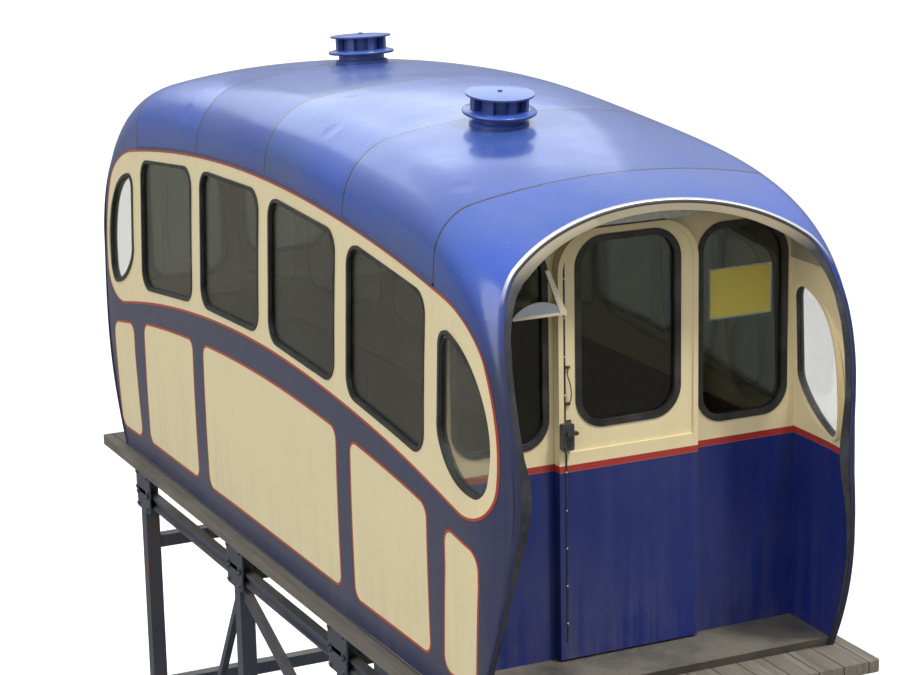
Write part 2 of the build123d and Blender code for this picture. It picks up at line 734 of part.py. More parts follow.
def rail_x(s, n):
    """World x of a point given along the slope and square to it."""
    return s * cos(GRADE) - n * sin(GRADE)


def rail_z(s, n):
    """World height of a point given along the slope and square to it."""
    return s * sin(GRADE) + n * cos(GRADE)


def x_at(z, n):
    """World x where the line at height n above the rail plane reaches z."""
    return rail_x((z - n * cos(GRADE)) / sin(GRADE), n)


def z_at(x, n):
    """World height of the line at height n above the rail plane at x."""
    return rail_z((x + n * sin(GRADE)) / cos(GRADE), n)


# Sole bars: channels under the deck
with BuildPart() as sole_bars:
    for side in (-1, 1):
        with BuildSketch(Plane.YZ.offset(-SOLE_END)):
            with Locations((side * BEAM_Y, (SOLE_TOP + SOLE_BOT) / 2)):
                Rectangle(SOLE_W, SOLE_H)
            with Locations((side * (BEAM_Y + SOLE_WEB), (SOLE_TOP + SOLE_BOT) / 2)):
                Rectangle(SOLE_W, SOLE_H - 2 * SOLE_FLANGE, mode=Mode.SUBTRACT)
    extrude(amount=2 * SOLE_END)
sole_bars.part.label = "sole_bars"
export_step(sole_bars.part, "parts/sole_bars.step")

# Inclined beams: I sections along the slope, cut off at the sole bars and the low end
BEAM_S0 = -3150.0           # start and length of the beams before they are cut
BEAM_L = 6200.0
with BuildPart() as incline_beams:
    with BuildSketch(slope.offset(BEAM_S0)):
        for side in (-1, 1):
            with Locations((side * BEAM_Y, BEAM_N)):
                Rectangle(BEAM_W, BEAM_H)
            for k in (-1, 1):
                with Locations((side * BEAM_Y + k * (BEAM_W + BEAM_WEB) / 4, BEAM_N)):
                    Rectangle((BEAM_W - BEAM_WEB) / 2, BEAM_H - 2 * BEAM_FLANGE, mode=Mode.SUBTRACT)
    extrude(amount=BEAM_L)
    split(bisect_by=Plane.XY.offset(SOLE_BOT), keep=Keep.BOTTOM)
    split(bisect_by=Plane.YZ.offset(-LOW_END), keep=Keep.TOP)
incline_beams.part.label = "incline_beams"
export_step(incline_beams.part, "parts/incline_beams.step")

# Everything below the tops of the inclined beams
with BuildPart() as under_beams:
    with BuildSketch(slope.offset(-1.3 * REACH)):
        with Locations((0, BEAM_N1 - REACH / 2)):
            Rectangle(2 * REACH, REACH)
    extrude(amount=2.6 * REACH)

POST_W = 90.0
POST_FOOT = 200.0           # spare length at the foot, cut off by the beam
POSTS = [-2700.0, -1000.0, 550.0]
with BuildPart() as frame_posts:
    for x in POSTS:
        foot = z_at(x, BEAM_N1) - POST_FOOT
        with Locations(*[(x, side * BEAM_Y, (foot + SOLE_BOT) / 2) for side in (-1, 1)]):
            Box(POST_W, POST_W, SOLE_BOT - foot)
    add(under_beams.part, mode=Mode.SUBTRACT)
frame_posts.part.label = "frame_posts"
export_step(frame_posts.part, "parts/frame_posts.step")

# Long rails between the posts, running out uphill onto the beams: channels, open outwards
RAIL_W = 60.0
RAIL_H = 80.0
RAIL_HOLLOW = 52.0
RAIL_SPANS = [(POSTS[0], POSTS[1]), (POSTS[1], POSTS[2]), (POSTS[2], x_at(RAIL_Z, BEAM_N1) + POST_FOOT)]
with BuildPart() as side_rails:
    for x0, x1 in RAIL_SPANS:
        length = x1 - x0 - POST_W
        for side in (-1, 1):
            with Locations(((x0 + x1) / 2, side * BEAM_Y, RAIL_Z)):
                Box(length, RAIL_W, RAIL_H)
            with Locations(((x0 + x1) / 2, side * (BEAM_Y + 22), RAIL_Z)):
                Box(length, RAIL_W / 2, RAIL_HOLLOW, mode=Mode.SUBTRACT)
    add(under_beams.part, mode=Mode.SUBTRACT)
side_rails.part.label = "side_rails"
export_step(side_rails.part, "parts/side_rails.step")

# Diagonal braces of the two bays: foot and head of each
BRACES = [
    {"x0": -2655.0, "z0": z_at(-2655.0, BEAM_N1) + 120, "x1": -1045.0, "z1": RAIL_Z - 110},
    {"x0": 505.0, "z0": z_at(505.0, BEAM_N1) + 90, "x1": -955.0, "z1": RAIL_Z - 110},
]
BRACE_W = 40.0
BRACE_H = 80.0
with BuildPart() as frame_braces:
    for side in (-1, 1):
        with BuildSketch(Plane.XZ.offset(-side * BEAM_Y - BRACE_W / 2)):
            for row in BRACES:
                with BuildLine():
                    Polyline(
                        (row["x0"], row["z0"] - BRACE_H / 2),
                        (row["x1"], row["z1"] - BRACE_H / 2),
                        (row["x1"], row["z1"] + BRACE_H / 2),
                        (row["x0"], row["z0"] + BRACE_H / 2),
                        close=True,
                    )
                make_face()
        extrude(amount=BRACE_W)
frame_braces.part.label = "frame_braces"
export_step(frame_braces.part, "parts/frame_braces.step")

# Cross members between the posts, the rails and the sole bars: x, height and size
CROSS = [{"x": POSTS[0], "z": RAIL_Z - drop, "size": 80.0} for drop in (300, 1300, 2300)]
CROSS += [{"x": x, "z": RAIL_Z, "size": 70.0} for x in POSTS[1:]]
CROSS += [{"x": 800.0 * k, "z": SOLE_TOP - 40, "size": 80.0} for k in range(-3, 4)]
with BuildPart() as cross_members:
    for row in CROSS:
        with Locations((row["x"], 0, row["z"])):
            Box(row["size"], 2 * BEAM_Y - POST_W, row["size"])
cross_members.part.label = "cross_members"
export_step(cross_members.part, "parts/cross_members.step")

TIE_L = 2 * BEAM_Y - 12
TIE_H = 100.0
TIE_W = 80.0
TIES = [-2050.0, -900.0, 700.0, 1500.0]
with BuildPart() as beam_ties:
    for s in TIES:
        with BuildSketch(slope.offset(s)):
            with Locations((0, BEAM_N)):
                Rectangle(TIE_L, TIE_H)
        extrude(amount=TIE_W)
    add(incline_beams.part, mode=Mode.SUBTRACT)
beam_ties.part.label = "beam_ties"
export_step(beam_ties.part, "parts/beam_ties.step")

# Track brakes: a caliper over each rail, hung on a bearer across the beams
BEARER_L = 240.0
CALIPER_L = 380.0           # along the slope
CALIPER_W = 150.0
CALIPER_N0 = 55.0           # underside, above the rail plane
CALIPER_N1 = 365.0
JAW_W = 70.0                # gap for the head of the rail
JAW_N = 165.0
with BuildPart() as track_brakes:
    with BuildSketch(slope.offset(-BEARER_L / 2)):
        with Locations((0, BEAM_N)):
            Rectangle(TIE_L, 90)
    extrude(amount=BEARER_L)
    add(incline_beams.part, mode=Mode.SUBTRACT)
    with BuildSketch(slope.offset(-CALIPER_L / 2)):
        for side in (-1, 1):
            with Locations((side * HALF_GAUGE, (CALIPER_N0 + CALIPER_N1) / 2)):
                Rectangle(CALIPER_W, CALIPER_N1 - CALIPER_N0)
            with Locations((side * HALF_GAUGE, JAW_N / 2)):
                Rectangle(JAW_W, JAW_N, mode=Mode.SUBTRACT)
    extrude(amount=CALIPER_L)
track_brakes.part.label = "track_brakes"
export_step(track_brakes.part, "parts/track_brakes.step")

# Wheelsets: half profile from the axle end to the middle, as distance from the centre and radius
WHEEL_PROFILE = [
    (JOURNAL_END, JOURNAL_R),
    (690, JOURNAL_R),
    (690, AXLE_R),
    (655, AXLE_R),
    (655, HUB_R),
    (585, HUB_R + 8),
    (585, 205),
    (625, 209),
    (625, TREAD_R - 4),
    (528, TREAD_R + 2),
    (520, FLANGE_R),
    (502, FLANGE_R),
    (490, TREAD_R),
    (490, 209),
    (555, 205),
    (555, HUB_R + 8),
    (500, HUB_R),
    (500, AXLE_R),
]
AXLE_BOX_L = 220.0
AXLE_BOX_HALF = 80.0        # half width across the car
COVER_R = 62.0
COVER_T = 30.0
BORE_PLAY = 6.0
for name, s in (("uphill", WHEEL_S), ("downhill", -WHEEL_S)):
    centre = (rail_x(s, TREAD_R), 0.0, rail_z(s, TREAD_R))
    with BuildPart() as wheelset:
        with BuildSketch(Plane(origin=centre, x_dir=(0, 1, 0), z_dir=(1, 0, 0))):
            with BuildLine():
                Polyline(
                    (-JOURNAL_END, 0),
                    (JOURNAL_END, 0),
                    *WHEEL_PROFILE,
                    *[port(p) for p in reversed(WHEEL_PROFILE)],
                    close=True,
                )
            make_face()
        revolve(axis=Axis(centre, (0, 1, 0)))
    wheelset.part.label = f"wheelset_{name}"
    export_step(wheelset.part, f"parts/wheelset_{name}.step")

    # Axle boxes under the beams, with a round cover outside
    across = Plane(origin=centre, x_dir=(cos(GRADE), 0, sin(GRADE)), z_dir=(0, 1, 0))
    with BuildPart() as axle_boxes:
        for side in (-1, 1):
            with BuildSketch(across.offset(side * BEAM_Y)):
                Rectangle(AXLE_BOX_L, 2 * (BEAM_N0 - TREAD_R))
            extrude(amount=AXLE_BOX_HALF, both=True)
            with BuildSketch(across.offset(side * (BEAM_Y + AXLE_BOX_HALF))):
                Circle(COVER_R)
            extrude(amount=side * COVER_T)
        fillet(axle_boxes.edges().filter_by(Axis.Y).group_by(SortBy.LENGTH)[-1], 14)
        with BuildSketch(across):
            Circle(JOURNAL_R + BORE_PLAY)
        extrude(amount=JOURNAL_END + BORE_PLAY, both=True, mode=Mode.SUBTRACT)
    axle_boxes.part.label = f"axle_boxes_{name}"
    export_step(axle_boxes.part, f"parts/axle_boxes_{name}.step")

# Rope drawbar from the uppermost beam tie, with an upright pin hole for the haulage rope's socket
DRAWBAR_W = 60.0
HAUL_PIN_R = 22.0
HAUL_EYE_T = 60.0
TAIL_PIN_R = 18.0
TAIL_EYE_T = 50.0
pin_down = (-sin(GRADE), 0, cos(GRADE))
haul_pin = Plane(origin=(rail_x(HAUL_S, ROPE_N), 0, rail_z(HAUL_S, ROPE_N)), x_dir=(0, 1, 0), z_dir=pin_down)
with BuildPart() as rope_drawbar:
    with BuildSketch(slope.offset(DRAWBAR_S)):
        with Locations((0, ROPE_N)):
            Rectangle(DRAWBAR_W, TIE_H)
    extrude(amount=HAUL_S - DRAWBAR_S - HAUL_EYE_R + 15)
    with BuildSketch(haul_pin):
        Circle(HAUL_EYE_R)
    extrude(amount=HAUL_EYE_T / 2, both=True)
    with BuildSketch(haul_pin):
        Circle(HAUL_PIN_R)
    extrude(amount=HAUL_EYE_T, both=True, mode=Mode.SUBTRACT)
rope_drawbar.part.label = "rope_drawbar"
export_step(rope_drawbar.part, "parts/rope_drawbar.step")

# Tail rope eye on the lowest beam tie
tail_pin = Plane(origin=(rail_x(TAIL_S, ROPE_N), 0, rail_z(TAIL_S, ROPE_N)), x_dir=(0, 1, 0), z_dir=pin_down)
with BuildPart() as tail_rope_eye:
    with BuildSketch(slope.offset(TAIL_S + TIE_W)):
        with Locations((0, ROPE_N)):
            Rectangle(TIE_L, TIE_H)
    extrude(amount=TIE_W)
    with BuildSketch(tail_pin):
        Circle(TAIL_EYE_R)
        with Locations((0, -TIE_H / 2)):
            Rectangle(2 * TAIL_EYE_R, TIE_H)
    extrude(amount=TAIL_EYE_T / 2, both=True)
    with BuildSketch(tail_pin):
        Circle(TAIL_PIN_R)
    extrude(amount=TAIL_EYE_T, both=True, mode=Mode.SUBTRACT)
    add(incline_beams.part, mode=Mode.SUBTRACT)
tail_rope_eye.part.label = "tail_rope_eye"
export_step(tail_rope_eye.part, "parts/tail_rope_eye.step")
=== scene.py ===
# Funicular car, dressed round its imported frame.
import math

import bmesh
import bpy
from mathutils import Matrix, Vector


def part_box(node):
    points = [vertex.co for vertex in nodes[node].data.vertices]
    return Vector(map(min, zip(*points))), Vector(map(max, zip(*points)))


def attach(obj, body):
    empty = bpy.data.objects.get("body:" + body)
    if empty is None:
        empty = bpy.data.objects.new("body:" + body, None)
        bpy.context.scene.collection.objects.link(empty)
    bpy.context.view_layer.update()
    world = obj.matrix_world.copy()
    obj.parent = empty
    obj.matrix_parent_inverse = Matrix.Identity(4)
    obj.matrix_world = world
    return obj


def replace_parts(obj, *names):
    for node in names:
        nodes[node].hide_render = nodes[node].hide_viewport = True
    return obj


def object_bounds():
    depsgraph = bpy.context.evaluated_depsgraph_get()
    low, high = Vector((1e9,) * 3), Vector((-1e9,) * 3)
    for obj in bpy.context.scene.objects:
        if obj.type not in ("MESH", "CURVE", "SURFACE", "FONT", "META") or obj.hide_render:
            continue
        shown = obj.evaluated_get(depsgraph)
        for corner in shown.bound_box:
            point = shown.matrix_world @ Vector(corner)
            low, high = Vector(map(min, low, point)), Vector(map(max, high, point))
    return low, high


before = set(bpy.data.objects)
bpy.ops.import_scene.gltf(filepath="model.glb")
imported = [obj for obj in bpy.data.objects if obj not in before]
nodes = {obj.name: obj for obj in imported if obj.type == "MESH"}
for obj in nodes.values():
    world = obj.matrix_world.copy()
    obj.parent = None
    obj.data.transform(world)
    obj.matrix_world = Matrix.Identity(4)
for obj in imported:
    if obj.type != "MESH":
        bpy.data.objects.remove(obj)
cad_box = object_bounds()
floor_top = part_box("floor")[1].z

# Camera. It stands uphill of the car, to its left and above the roof, and looks down
# along the body, as in the photograph.
LENS_PX = 2576.0            # focal length in pixels of a frame 900 wide
FRAME_W = 900.0
SENSOR = 36.0
CAMERA_AT = (12.525, -5.7413, 4.5674 + floor_top)
CAMERA_YAW = 0.4366         # its turns in radians
CAMERA_PITCH = 0.2484
CAMERA_ROLL = -0.0208

camera_data = bpy.data.cameras.new("camera")
camera_data.sensor_width = SENSOR
camera_data.lens = SENSOR * LENS_PX / FRAME_W
camera_data.clip_end = 500.0
camera = bpy.data.objects.new("camera", camera_data)
bpy.context.scene.collection.objects.link(camera)
camera.matrix_world = (
    Matrix.Translation(CAMERA_AT)
    @ Matrix.Rotation(math.pi / 2 - CAMERA_YAW, 4, "Z")
    @ Matrix.Rotation(math.pi / 2 - CAMERA_PITCH, 4, "X")
    @ Matrix.Rotation(CAMERA_ROLL, 4, "Z")
)
bpy.context.scene.camera = camera


# Wedge underframe: rolled beams, posts, long rails, cross members and braces, riveted
# and bolted together. Brushed dark blue-grey paint, chalky with age, with rust coming
# through at edges and road dirt thrown up from below.
class Level:
    """A node socket used in arithmetic: each operation adds its Math node."""

    def __init__(self, finish, socket):
        self.finish = finish
        self.socket = socket

    def maths(self, operation, *others):
        inputs = dict(enumerate((self,) + others))
        return self.finish.node("ShaderNodeMath", {"operation": operation}, inputs)

    def __add__(self, other):
        return self.maths("ADD", other)

    __radd__ = __add__

    def __sub__(self, other):
        return self.maths("SUBTRACT", other)

    def __rsub__(self, other):
        return self.finish.node("ShaderNodeMath", {"operation": "SUBTRACT"}, {0: other, 1: self})

    def __mul__(self, other):
        return self.maths("MULTIPLY", other)

    __rmul__ = __mul__

    def __truediv__(self, other):
        return self.maths("DIVIDE", other)

    def __pow__(self, other):
        return self.maths("POWER", other)

    def __abs__(self):
        return self.maths("ABSOLUTE")

    def larger(self, other):
        return self.maths("MAXIMUM", other)

    def smaller(self, other):
        return self.maths("MINIMUM", other)

    def above(self, limit, blur):
        """1 where the value is over the limit and 0 under it, blurred over a width."""
        settings = {"operation": "MULTIPLY_ADD", "use_clamp": True}
        return self.finish.node("ShaderNodeMath", settings, {0: self - limit, 1: 1.0 / blur, 2: 0.5})

    def below(self, limit, blur):
        return 1.0 - self.above(limit, blur)

    def near(self, centre, half, blur):
        """1 within half a width of the centre."""
        return abs(self - centre).below(half, blur)


class Finish:
    """A material being made, with its coordinates in metres on the object."""

    def __init__(self, name):
        self.material = bpy.data.materials.new(name)
        self.material.use_nodes = True
        self.tree = self.material.node_tree
        self.shader = self.tree.nodes["Principled BSDF"]
        self.place = self.node("ShaderNodeTexCoord", output="Object")
        self.x, self.y, self.z = self.split(self.place)
        self.height = self.z - floor_top

    def node(self, kind, settings=None, inputs=None, output=0):
        """Adds a node: its settings first, then the values or links of its sockets."""
        made = self.tree.nodes.new(kind)
        for key, value in (settings or {}).items():
            if key == "stops":
                ramp = made.color_ramp
                while len(ramp.elements) < len(value):
                    ramp.elements.new(1.0)
                for stop, (position, colour) in zip(ramp.elements, value):
                    stop.position = position
                    stop.color = (*colour, 1.0)
            else:
                setattr(made, key, value)
        for key, value in (inputs or {}).items():
            self.feed(made.inputs[key], value)
        if output is None:
            return [Level(self, socket) for socket in made.outputs]
        return Level(self, made.outputs[output])

    def feed(self, socket, value):
        if isinstance(value, Level):
            self.tree.links.new(value.socket, socket)
        elif isinstance(value, tuple) and len(value) == 3 and socket.type == "RGBA":
            socket.default_value = (*value, 1.0)
        else:
            socket.default_value = value

    def split(self, vector):
        return self.node("ShaderNodeSeparateXYZ", None, {0: vector}, None)

    def join(self, x, y, z):
        return self.node("ShaderNodeCombineXYZ", None, {0: x, 1: y, 2: z})

    def stretched(self, factors):
        """The place on the object, stretched along its axes."""
        return self.node("ShaderNodeVectorMath", {"operation": "MULTIPLY"}, {0: self.place, 1: factors})

    def noise(self, scale, detail=4.0, rough=0.55, where=None):
        inputs = {"Vector": where or self.place, "Scale": scale, "Detail": detail, "Roughness": rough}
        return self.node("ShaderNodeTexNoise", None, inputs)

    def blend(self, first, second, factor):
        """Mixes two colours."""
        return self.node("ShaderNodeMix", {"data_type": "RGBA"}, {0: factor, 6: first, 7: second}, 2)

    def normal(self):
        return self.split(self.node("ShaderNodeNewGeometry", output="Normal"))

    def bump(self, height, strength, distance, under=None):
        inputs = {"Height": height, "Strength": strength, "Distance": distance}
        if under is not None:
            inputs["Normal"] = under
        return self.node("ShaderNodeBump", None, inputs)

    def set(self, **inputs):
        """Sets the shader's sockets: Base_Color, Roughness, Normal and so on."""
        for key, value in inputs.items():
            self.feed(self.shader.inputs[key.replace("_", " ")], value)
        return self.material


def dress(material, *names):
    """Gives CAD nodes their material."""
    for name in names:
        for slot in nodes[name].material_slots:
            slot.material = material


def weathered_paint(name, colour, chalk, rust):
    """Old brushed paint on rolled steel."""
    finish = Finish(name)
    patch = finish.noise(1.7, 6.0, 0.6)
    streak = finish.noise(9.0, 5.0, 0.6, finish.stretched((1.0, 1.0, 0.12)))
    speck = finish.noise(60.0, 3.0, 0.7)
    paint = finish.blend(colour, tuple(0.5 * c + 0.09 for c in colour), (patch * chalk).smaller(1.0))
    rusty = (patch * 0.55 + streak * 0.3 + speck * 0.35).above(rust, 0.05)
    brown = finish.blend((0.09, 0.035, 0.015), (0.2, 0.09, 0.04), speck)
    dust = finish.normal()[2].above(0.5, 0.4) * finish.noise(3.0).above(0.42, 0.3) * 0.55
    tone = finish.blend(finish.blend(paint, brown, rusty), (0.3, 0.26, 0.2), dust)
    rough = 0.42 + patch * 0.2 + rusty * 0.3 + dust * 0.2
    skin = finish.bump(speck * 0.4 + rusty * 0.6, 0.5, 0.0015)
    return finish.set(Base_Color=tone, Roughness=rough, Normal=skin)


SHARP_TURN = math.radians(38)       # edges that turn further than this stay sharp


def to_piece(name, work, material, body, bevel=0.0):
    """Turns finished mesh work into a piece that rides on a body."""
    bmesh.ops.recalc_face_normals(work, faces=work.faces)
    mesh = bpy.data.meshes.new(name)
    work.to_mesh(mesh)
    work.free()
    piece = bpy.data.objects.new(name, mesh)
    bpy.context.scene.collection.objects.link(piece)
    mesh.shade_smooth()
    mesh.set_sharp_from_angle(angle=SHARP_TURN)
    mesh.materials.append(material)
    if bevel:
        rounding = piece.modifiers.new("rounding", "BEVEL")
        rounding.width = bevel
        rounding.segments = 2
        rounding.limit_method = "ANGLE"
    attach(piece, body)
    return piece


def block(work, centre, size, turn=None):
    """Adds a box of a size about a centre, turned by a matrix."""
    place = Matrix.Translation(centre) @ (turn or Matrix()) @ Matrix.Diagonal((*size, 1.0))
    bmesh.ops.create_cube(work, size=1.0, matrix=place)


def bolt(work, foot, outward, radius, height):
    """Adds a hexagonal bolt head on its round washer, standing on a surface."""
    turn = Vector(outward).to_track_quat("Z", "Y").to_matrix().to_4x4()
    base = Matrix.Translation(foot) @ turn
    washer = base @ Matrix.Translation((0, 0, height * 0.15))
    head = base @ Matrix.Translation((0, 0, height * 0.65))
    bmesh.ops.create_cone(
        work, cap_ends=True, segments=16, radius1=radius * 1.35, radius2=radius * 1.3, depth=height * 0.3,
        matrix=washer,
    )
    bmesh.ops.create_cone(
        work, cap_ends=True, segments=6, radius1=radius, radius2=radius * 0.94, depth=height * 0.7,
        matrix=head,
    )


def rivet(work, foot, outward, radius):
    """Adds a low domed rivet head."""
    turn = Vector(outward).to_track_quat("Z", "Y").to_matrix().to_4x4()
    dome = Matrix.Translation(foot) @ turn @ Matrix.Diagonal((1.0, 1.0, 0.55, 1.0))
    bmesh.ops.create_uvsphere(work, u_segments=8, v_segments=6, radius=radius, matrix=dome)


frame_steel = weathered_paint("frame_steel", (0.035, 0.045, 0.075), 0.7, 0.72)
dress(
    frame_steel, "incline_beams", "sole_bars", "frame_posts", "side_rails", "cross_members", "beam_ties",
    "frame_braces", "rope_drawbar", "tail_rope_eye",
)

# Gusset plates where each post meets the sole bar, the long rail and the inclined beam:
# flat steel laid on the outside of the joint. Four bolts hold an upright plate, and a
# row of three holds each plate that leans with the beam.
GRADE = math.radians(33.0)
BEAM_TOP = 0.5              # top of the inclined beams, square to the slope
POST_X = (-2.7, -1.0, 0.55)
END_SHIFT = 0.045           # the plates at the low end stand further in than their post
PLATE_T = 0.012
SOLE_PLATE = (0.26, 0.16)
SOLE_PLATE_DROP = 0.07
RAIL_PLATE = (0.24, 0.14)
BEAM_PLATE = (0.3, PLATE_T, 0.2)
BEAM_PLATE_OFF = 0.03
BEAM_BOLTS = (-0.11, 0.0, 0.11)
BEAM_BOLT_UP = 0.05
BOLT_IN = (0.035, 0.03)     # from a plate's side and end to its bolts
BOLT_R = 0.013
BOLT_H = 0.014
post_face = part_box("frame_posts")[1].y
sole_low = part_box("sole_bars")[0].z
rail_low, rail_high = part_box("side_rails")
rail_z = (rail_low.z + rail_high.z) / 2
lean = Matrix.Rotation(-GRADE, 4, "Y")
plates = bmesh.new()
for hand in (-1, 1):
    middle_y = hand * (post_face + PLATE_T / 2)
    outer_y = hand * (post_face + PLATE_T)
    for post_x in POST_X:
        x = post_x + (END_SHIFT if post_x == POST_X[0] else 0.0)
        for z, (wide, tall) in ((sole_low - SOLE_PLATE_DROP, SOLE_PLATE), (rail_z, RAIL_PLATE)):
            block(plates, (x, middle_y, z), (wide, PLATE_T, tall))
            for k in (-1, 1):
                for m in (-1, 1):
                    foot = (x + k * (wide / 2 - BOLT_IN[0]), outer_y, z + m * (tall / 2 - BOLT_IN[1]))
                    bolt(plates, foot, (0, hand, 0), BOLT_R, BOLT_H)
        x += BEAM_PLATE_OFF
        z = (x - BEAM_PLATE_OFF) * math.tan(GRADE) + BEAM_TOP / math.cos(GRADE) + BEAM_PLATE_OFF
        block(plates, (x, middle_y, z), BEAM_PLATE, lean)
        for k in BEAM_BOLTS:
            foot = Vector((x, outer_y, z)) + lean @ Vector((k, 0, BEAM_BOLT_UP))
            bolt(plates, foot, (0, hand, 0), BOLT_R, BOLT_H)
to_piece("gusset_plates", plates, frame_steel, "car", 0.002)

# Rivets along the upper and the lower flange of each sole bar: small domed heads of the
# same steel, painted over with the frame.
RIVET_GAP = 0.2
RIVET_START = 0.07          # from the end of a bar to its first rivet
RIVET_SPARE = 0.1           # length of a bar that is left free of them in all
RIVET_IN = 0.0075           # from the edge of a flange to the middle of its rivets
RIVET_R = 0.0055
rivets = bmesh.new()
sole_a, sole_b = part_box("sole_bars")
count = int((sole_b.x - sole_a.x - RIVET_SPARE) / RIVET_GAP)
for hand in (-1, 1):
    for k in range(count + 1):
        x = sole_a.x + RIVET_START + k * RIVET_GAP
        for z in (sole_a.z + RIVET_IN, sole_b.z - RIVET_IN):
            rivet(rivets, (x, hand * sole_b.y, z), (0, hand, 0), RIVET_R)
to_piece("sole_bar_rivets", rivets, frame_steel, "car")

# Wheelsets, axle boxes and track brakes: plain castings, oily and dusted brown, with
# the wheel treads and flanges worn bright by the rails.
TREAD_R = 0.2435            # a wheel is bright beyond this radius
TREAD_Y = 0.56
TREAD_HALF = 0.075


def cast_metal(name, axle):
    """Greasy dark castings. Those that turn on an axle, given by x and z, have treads."""
    finish = Finish(name)
    patch = finish.noise(5.0, 5.0)
    grit = finish.noise(90.0, 3.0, 0.7)
    dark = finish.blend((0.022, 0.02, 0.019), (0.09, 0.06, 0.04), patch.above(0.52, 0.22))
    if axle is None:
        rough = 0.5 + patch * 0.3
        return finish.set(Base_Color=dark, Roughness=rough, Normal=finish.bump(grit, 0.5, 0.001))
    radius = ((finish.x - axle[0]) ** 2.0 + (finish.z - axle[1]) ** 2.0) ** 0.5
    bright = radius.above(TREAD_R, 0.002) * abs(finish.y).near(TREAD_Y, TREAD_HALF, 0.01)
    scuffs = finish.noise(40.0, 3.0, 0.6, finish.stretched((1.0, 8.0, 1.0)))
    steel = finish.blend((0.32, 0.31, 0.3), (0.5, 0.49, 0.47), scuffs)
    tone = finish.blend(dark, steel, bright)
    rough = 0.55 + patch * 0.25 - bright * 0.35
    skin = finish.bump(grit * (1.0 - bright), 0.5, 0.001)
    return finish.set(Base_Color=tone, Roughness=rough, Metallic=bright, Normal=skin)


castings = cast_metal("greasy_castings", None)
dress(castings, "axle_boxes_uphill", "axle_boxes_downhill", "track_brakes")
axles = {}
for end in ("uphill", "downhill"):
    low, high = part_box("wheelset_" + end)
    centre = (low + high) / 2
    axles[end] = (centre.x, centre.z)
    dress(cast_metal("wheel_steel_" + end, axles[end]), "wheelset_" + end)

# Axle box covers: a ring of six small bolts holds the round cover over the end of each
# journal. They stay still with the box while the wheels turn.
COVER_BOLTS = 6
COVER_R = 0.05
COVER_BOLT_R = 0.0065
COVER_BOLT_H = 0.008
covers = bmesh.new()
for end, (x, z) in axles.items():
    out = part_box("axle_boxes_" + end)[1].y
    for hand in (-1, 1):
        for k in range(COVER_BOLTS):
            turn = 2 * math.pi * k / COVER_BOLTS
            foot = (x + COVER_R * math.cos(turn), hand * out, z + COVER_R * math.sin(turn))
            bolt(covers, foot, (0, hand, 0), COVER_BOLT_R, COVER_BOLT_H)
to_piece("axle_cover_bolts", covers, castings, "car")


# Deck plate under the body: a broad board of grey weathered planks, laid lengthwise on
# the sole bars and sticking out past the body all round.
PLANK_W = 0.142


def deck_boards():
    finish = Finish("deck_boards")
    plank = finish.node("ShaderNodeMath", {"operation": "FRACT"}, {0: finish.y / PLANK_W})
    gap = plank.near(0.0, 0.02, 0.01).larger(plank.near(1.0, 0.02, 0.01))
    grain = finish.noise(14.0, 8.0, 0.65, finish.stretched((0.15, 3.0, 1.0)))
    patch = finish.noise(1.3, 4.0)
    tone = finish.node(
        "ShaderNodeValToRGB",
        {"stops": [(0.25, (0.075, 0.062, 0.05)), (0.55, (0.17, 0.15, 0.125)), (0.8, (0.3, 0.275, 0.24))]},
        {0: grain * 0.7 + patch * 0.3},
    )
    tone = finish.blend(tone, (0.02, 0.018, 0.015), gap)
    skin = finish.bump(grain - gap * 2.0, 0.6, 0.003)
    return finish.set(Base_Color=tone, Roughness=0.75 + grain * 0.2, Normal=skin)


dress(deck_boards(), "deck_plate")


# Body sides: sheet metal over framing, brush painted. Cream window belt and lower
# panels on blue, each edged with a fine red line beside a dark one. All heights are
# over the floor, and what curves along the body is given at midships.
CREAM = (0.83, 0.7, 0.43)
BLUE = (0.017, 0.07, 0.45)
# The navy is the body's blue painted darker as shade.
SHADE_NAVY = (0.03, 0.036, 0.095)
ROYAL = (0.008, 0.02, 0.15)
RED = (0.4, 0.03, 0.022)
LINE_RED = (0.4, 0.042, 0.026)
LINE_DARK = (0.012, 0.014, 0.03)
SEAM_SHADE = (0.01, 0.014, 0.03)
LINING_BROWN = (0.16, 0.09, 0.045)
LINE_W = 0.015
END_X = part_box("end_wall_uphill")[1].x
BAND_Z = 0.95               # foot of the red band in the porches
BAND_W = 0.033
BELT_TOP = 2.0593           # edges of the window belt, and their fall with the square of x
BELT_TOP_FALL = 0.0381
BELT_FOOT = 1.1498
BELT_FOOT_FALL = 0.0439
BELT_END_X = 1.7162         # centre and radius of the round ends of the belt
BELT_END_Z = 1.205
BELT_END_R = 0.9956
BELT_TOP_CORNER = 0.167
BELT_FOOT_CORNER = 0.266
PANEL_FOOT = 0.0973         # edges of the lower panels, and their fall
PANEL_FOOT_FALL = 0.0026
PANEL_TOP = 0.978
PANEL_TOP_FALL = 0.0335
PANEL_CORNER = 0.07
WIDE_HALF = 0.977           # half widths of the three kinds of panel, and their places
SQUARE_X = 1.596
SQUARE_HALF = 0.446
QUARTER_X = 2.4
NARROW_HALF = 0.166
NARROW_DROP = 0.012
NARROW_CORNER = 0.08
NARROW_LEAN_Z = 0.6         # below this height they lean to the middle
NARROW_LEAN = 0.09
NARROW_DOWNHILL = 0.026     # the downhill one grows by this each way and stands out as much
# Below this height the blue is painted darker as shade.
GUTTER_Z = 2.08             # the blue turns bright round this height, lower to the ends
GUTTER_FALL = 0.1


def arched(finish, middle, fall):
    """Height of a line that is highest at midships and falls as the square of x."""
    return middle - finish.x * finish.x * fall


def rounded_corner(first, second, radius):
    """Distance outside two edges that meet in a rounded corner, negative inside both."""
    qx = first + radius
    qz = second + radius
    outside = (qx.larger(0.0) ** 2.0 + qz.larger(0.0) ** 2.0) ** 0.5
    return outside + qx.larger(qz).smaller(0.0) - radius


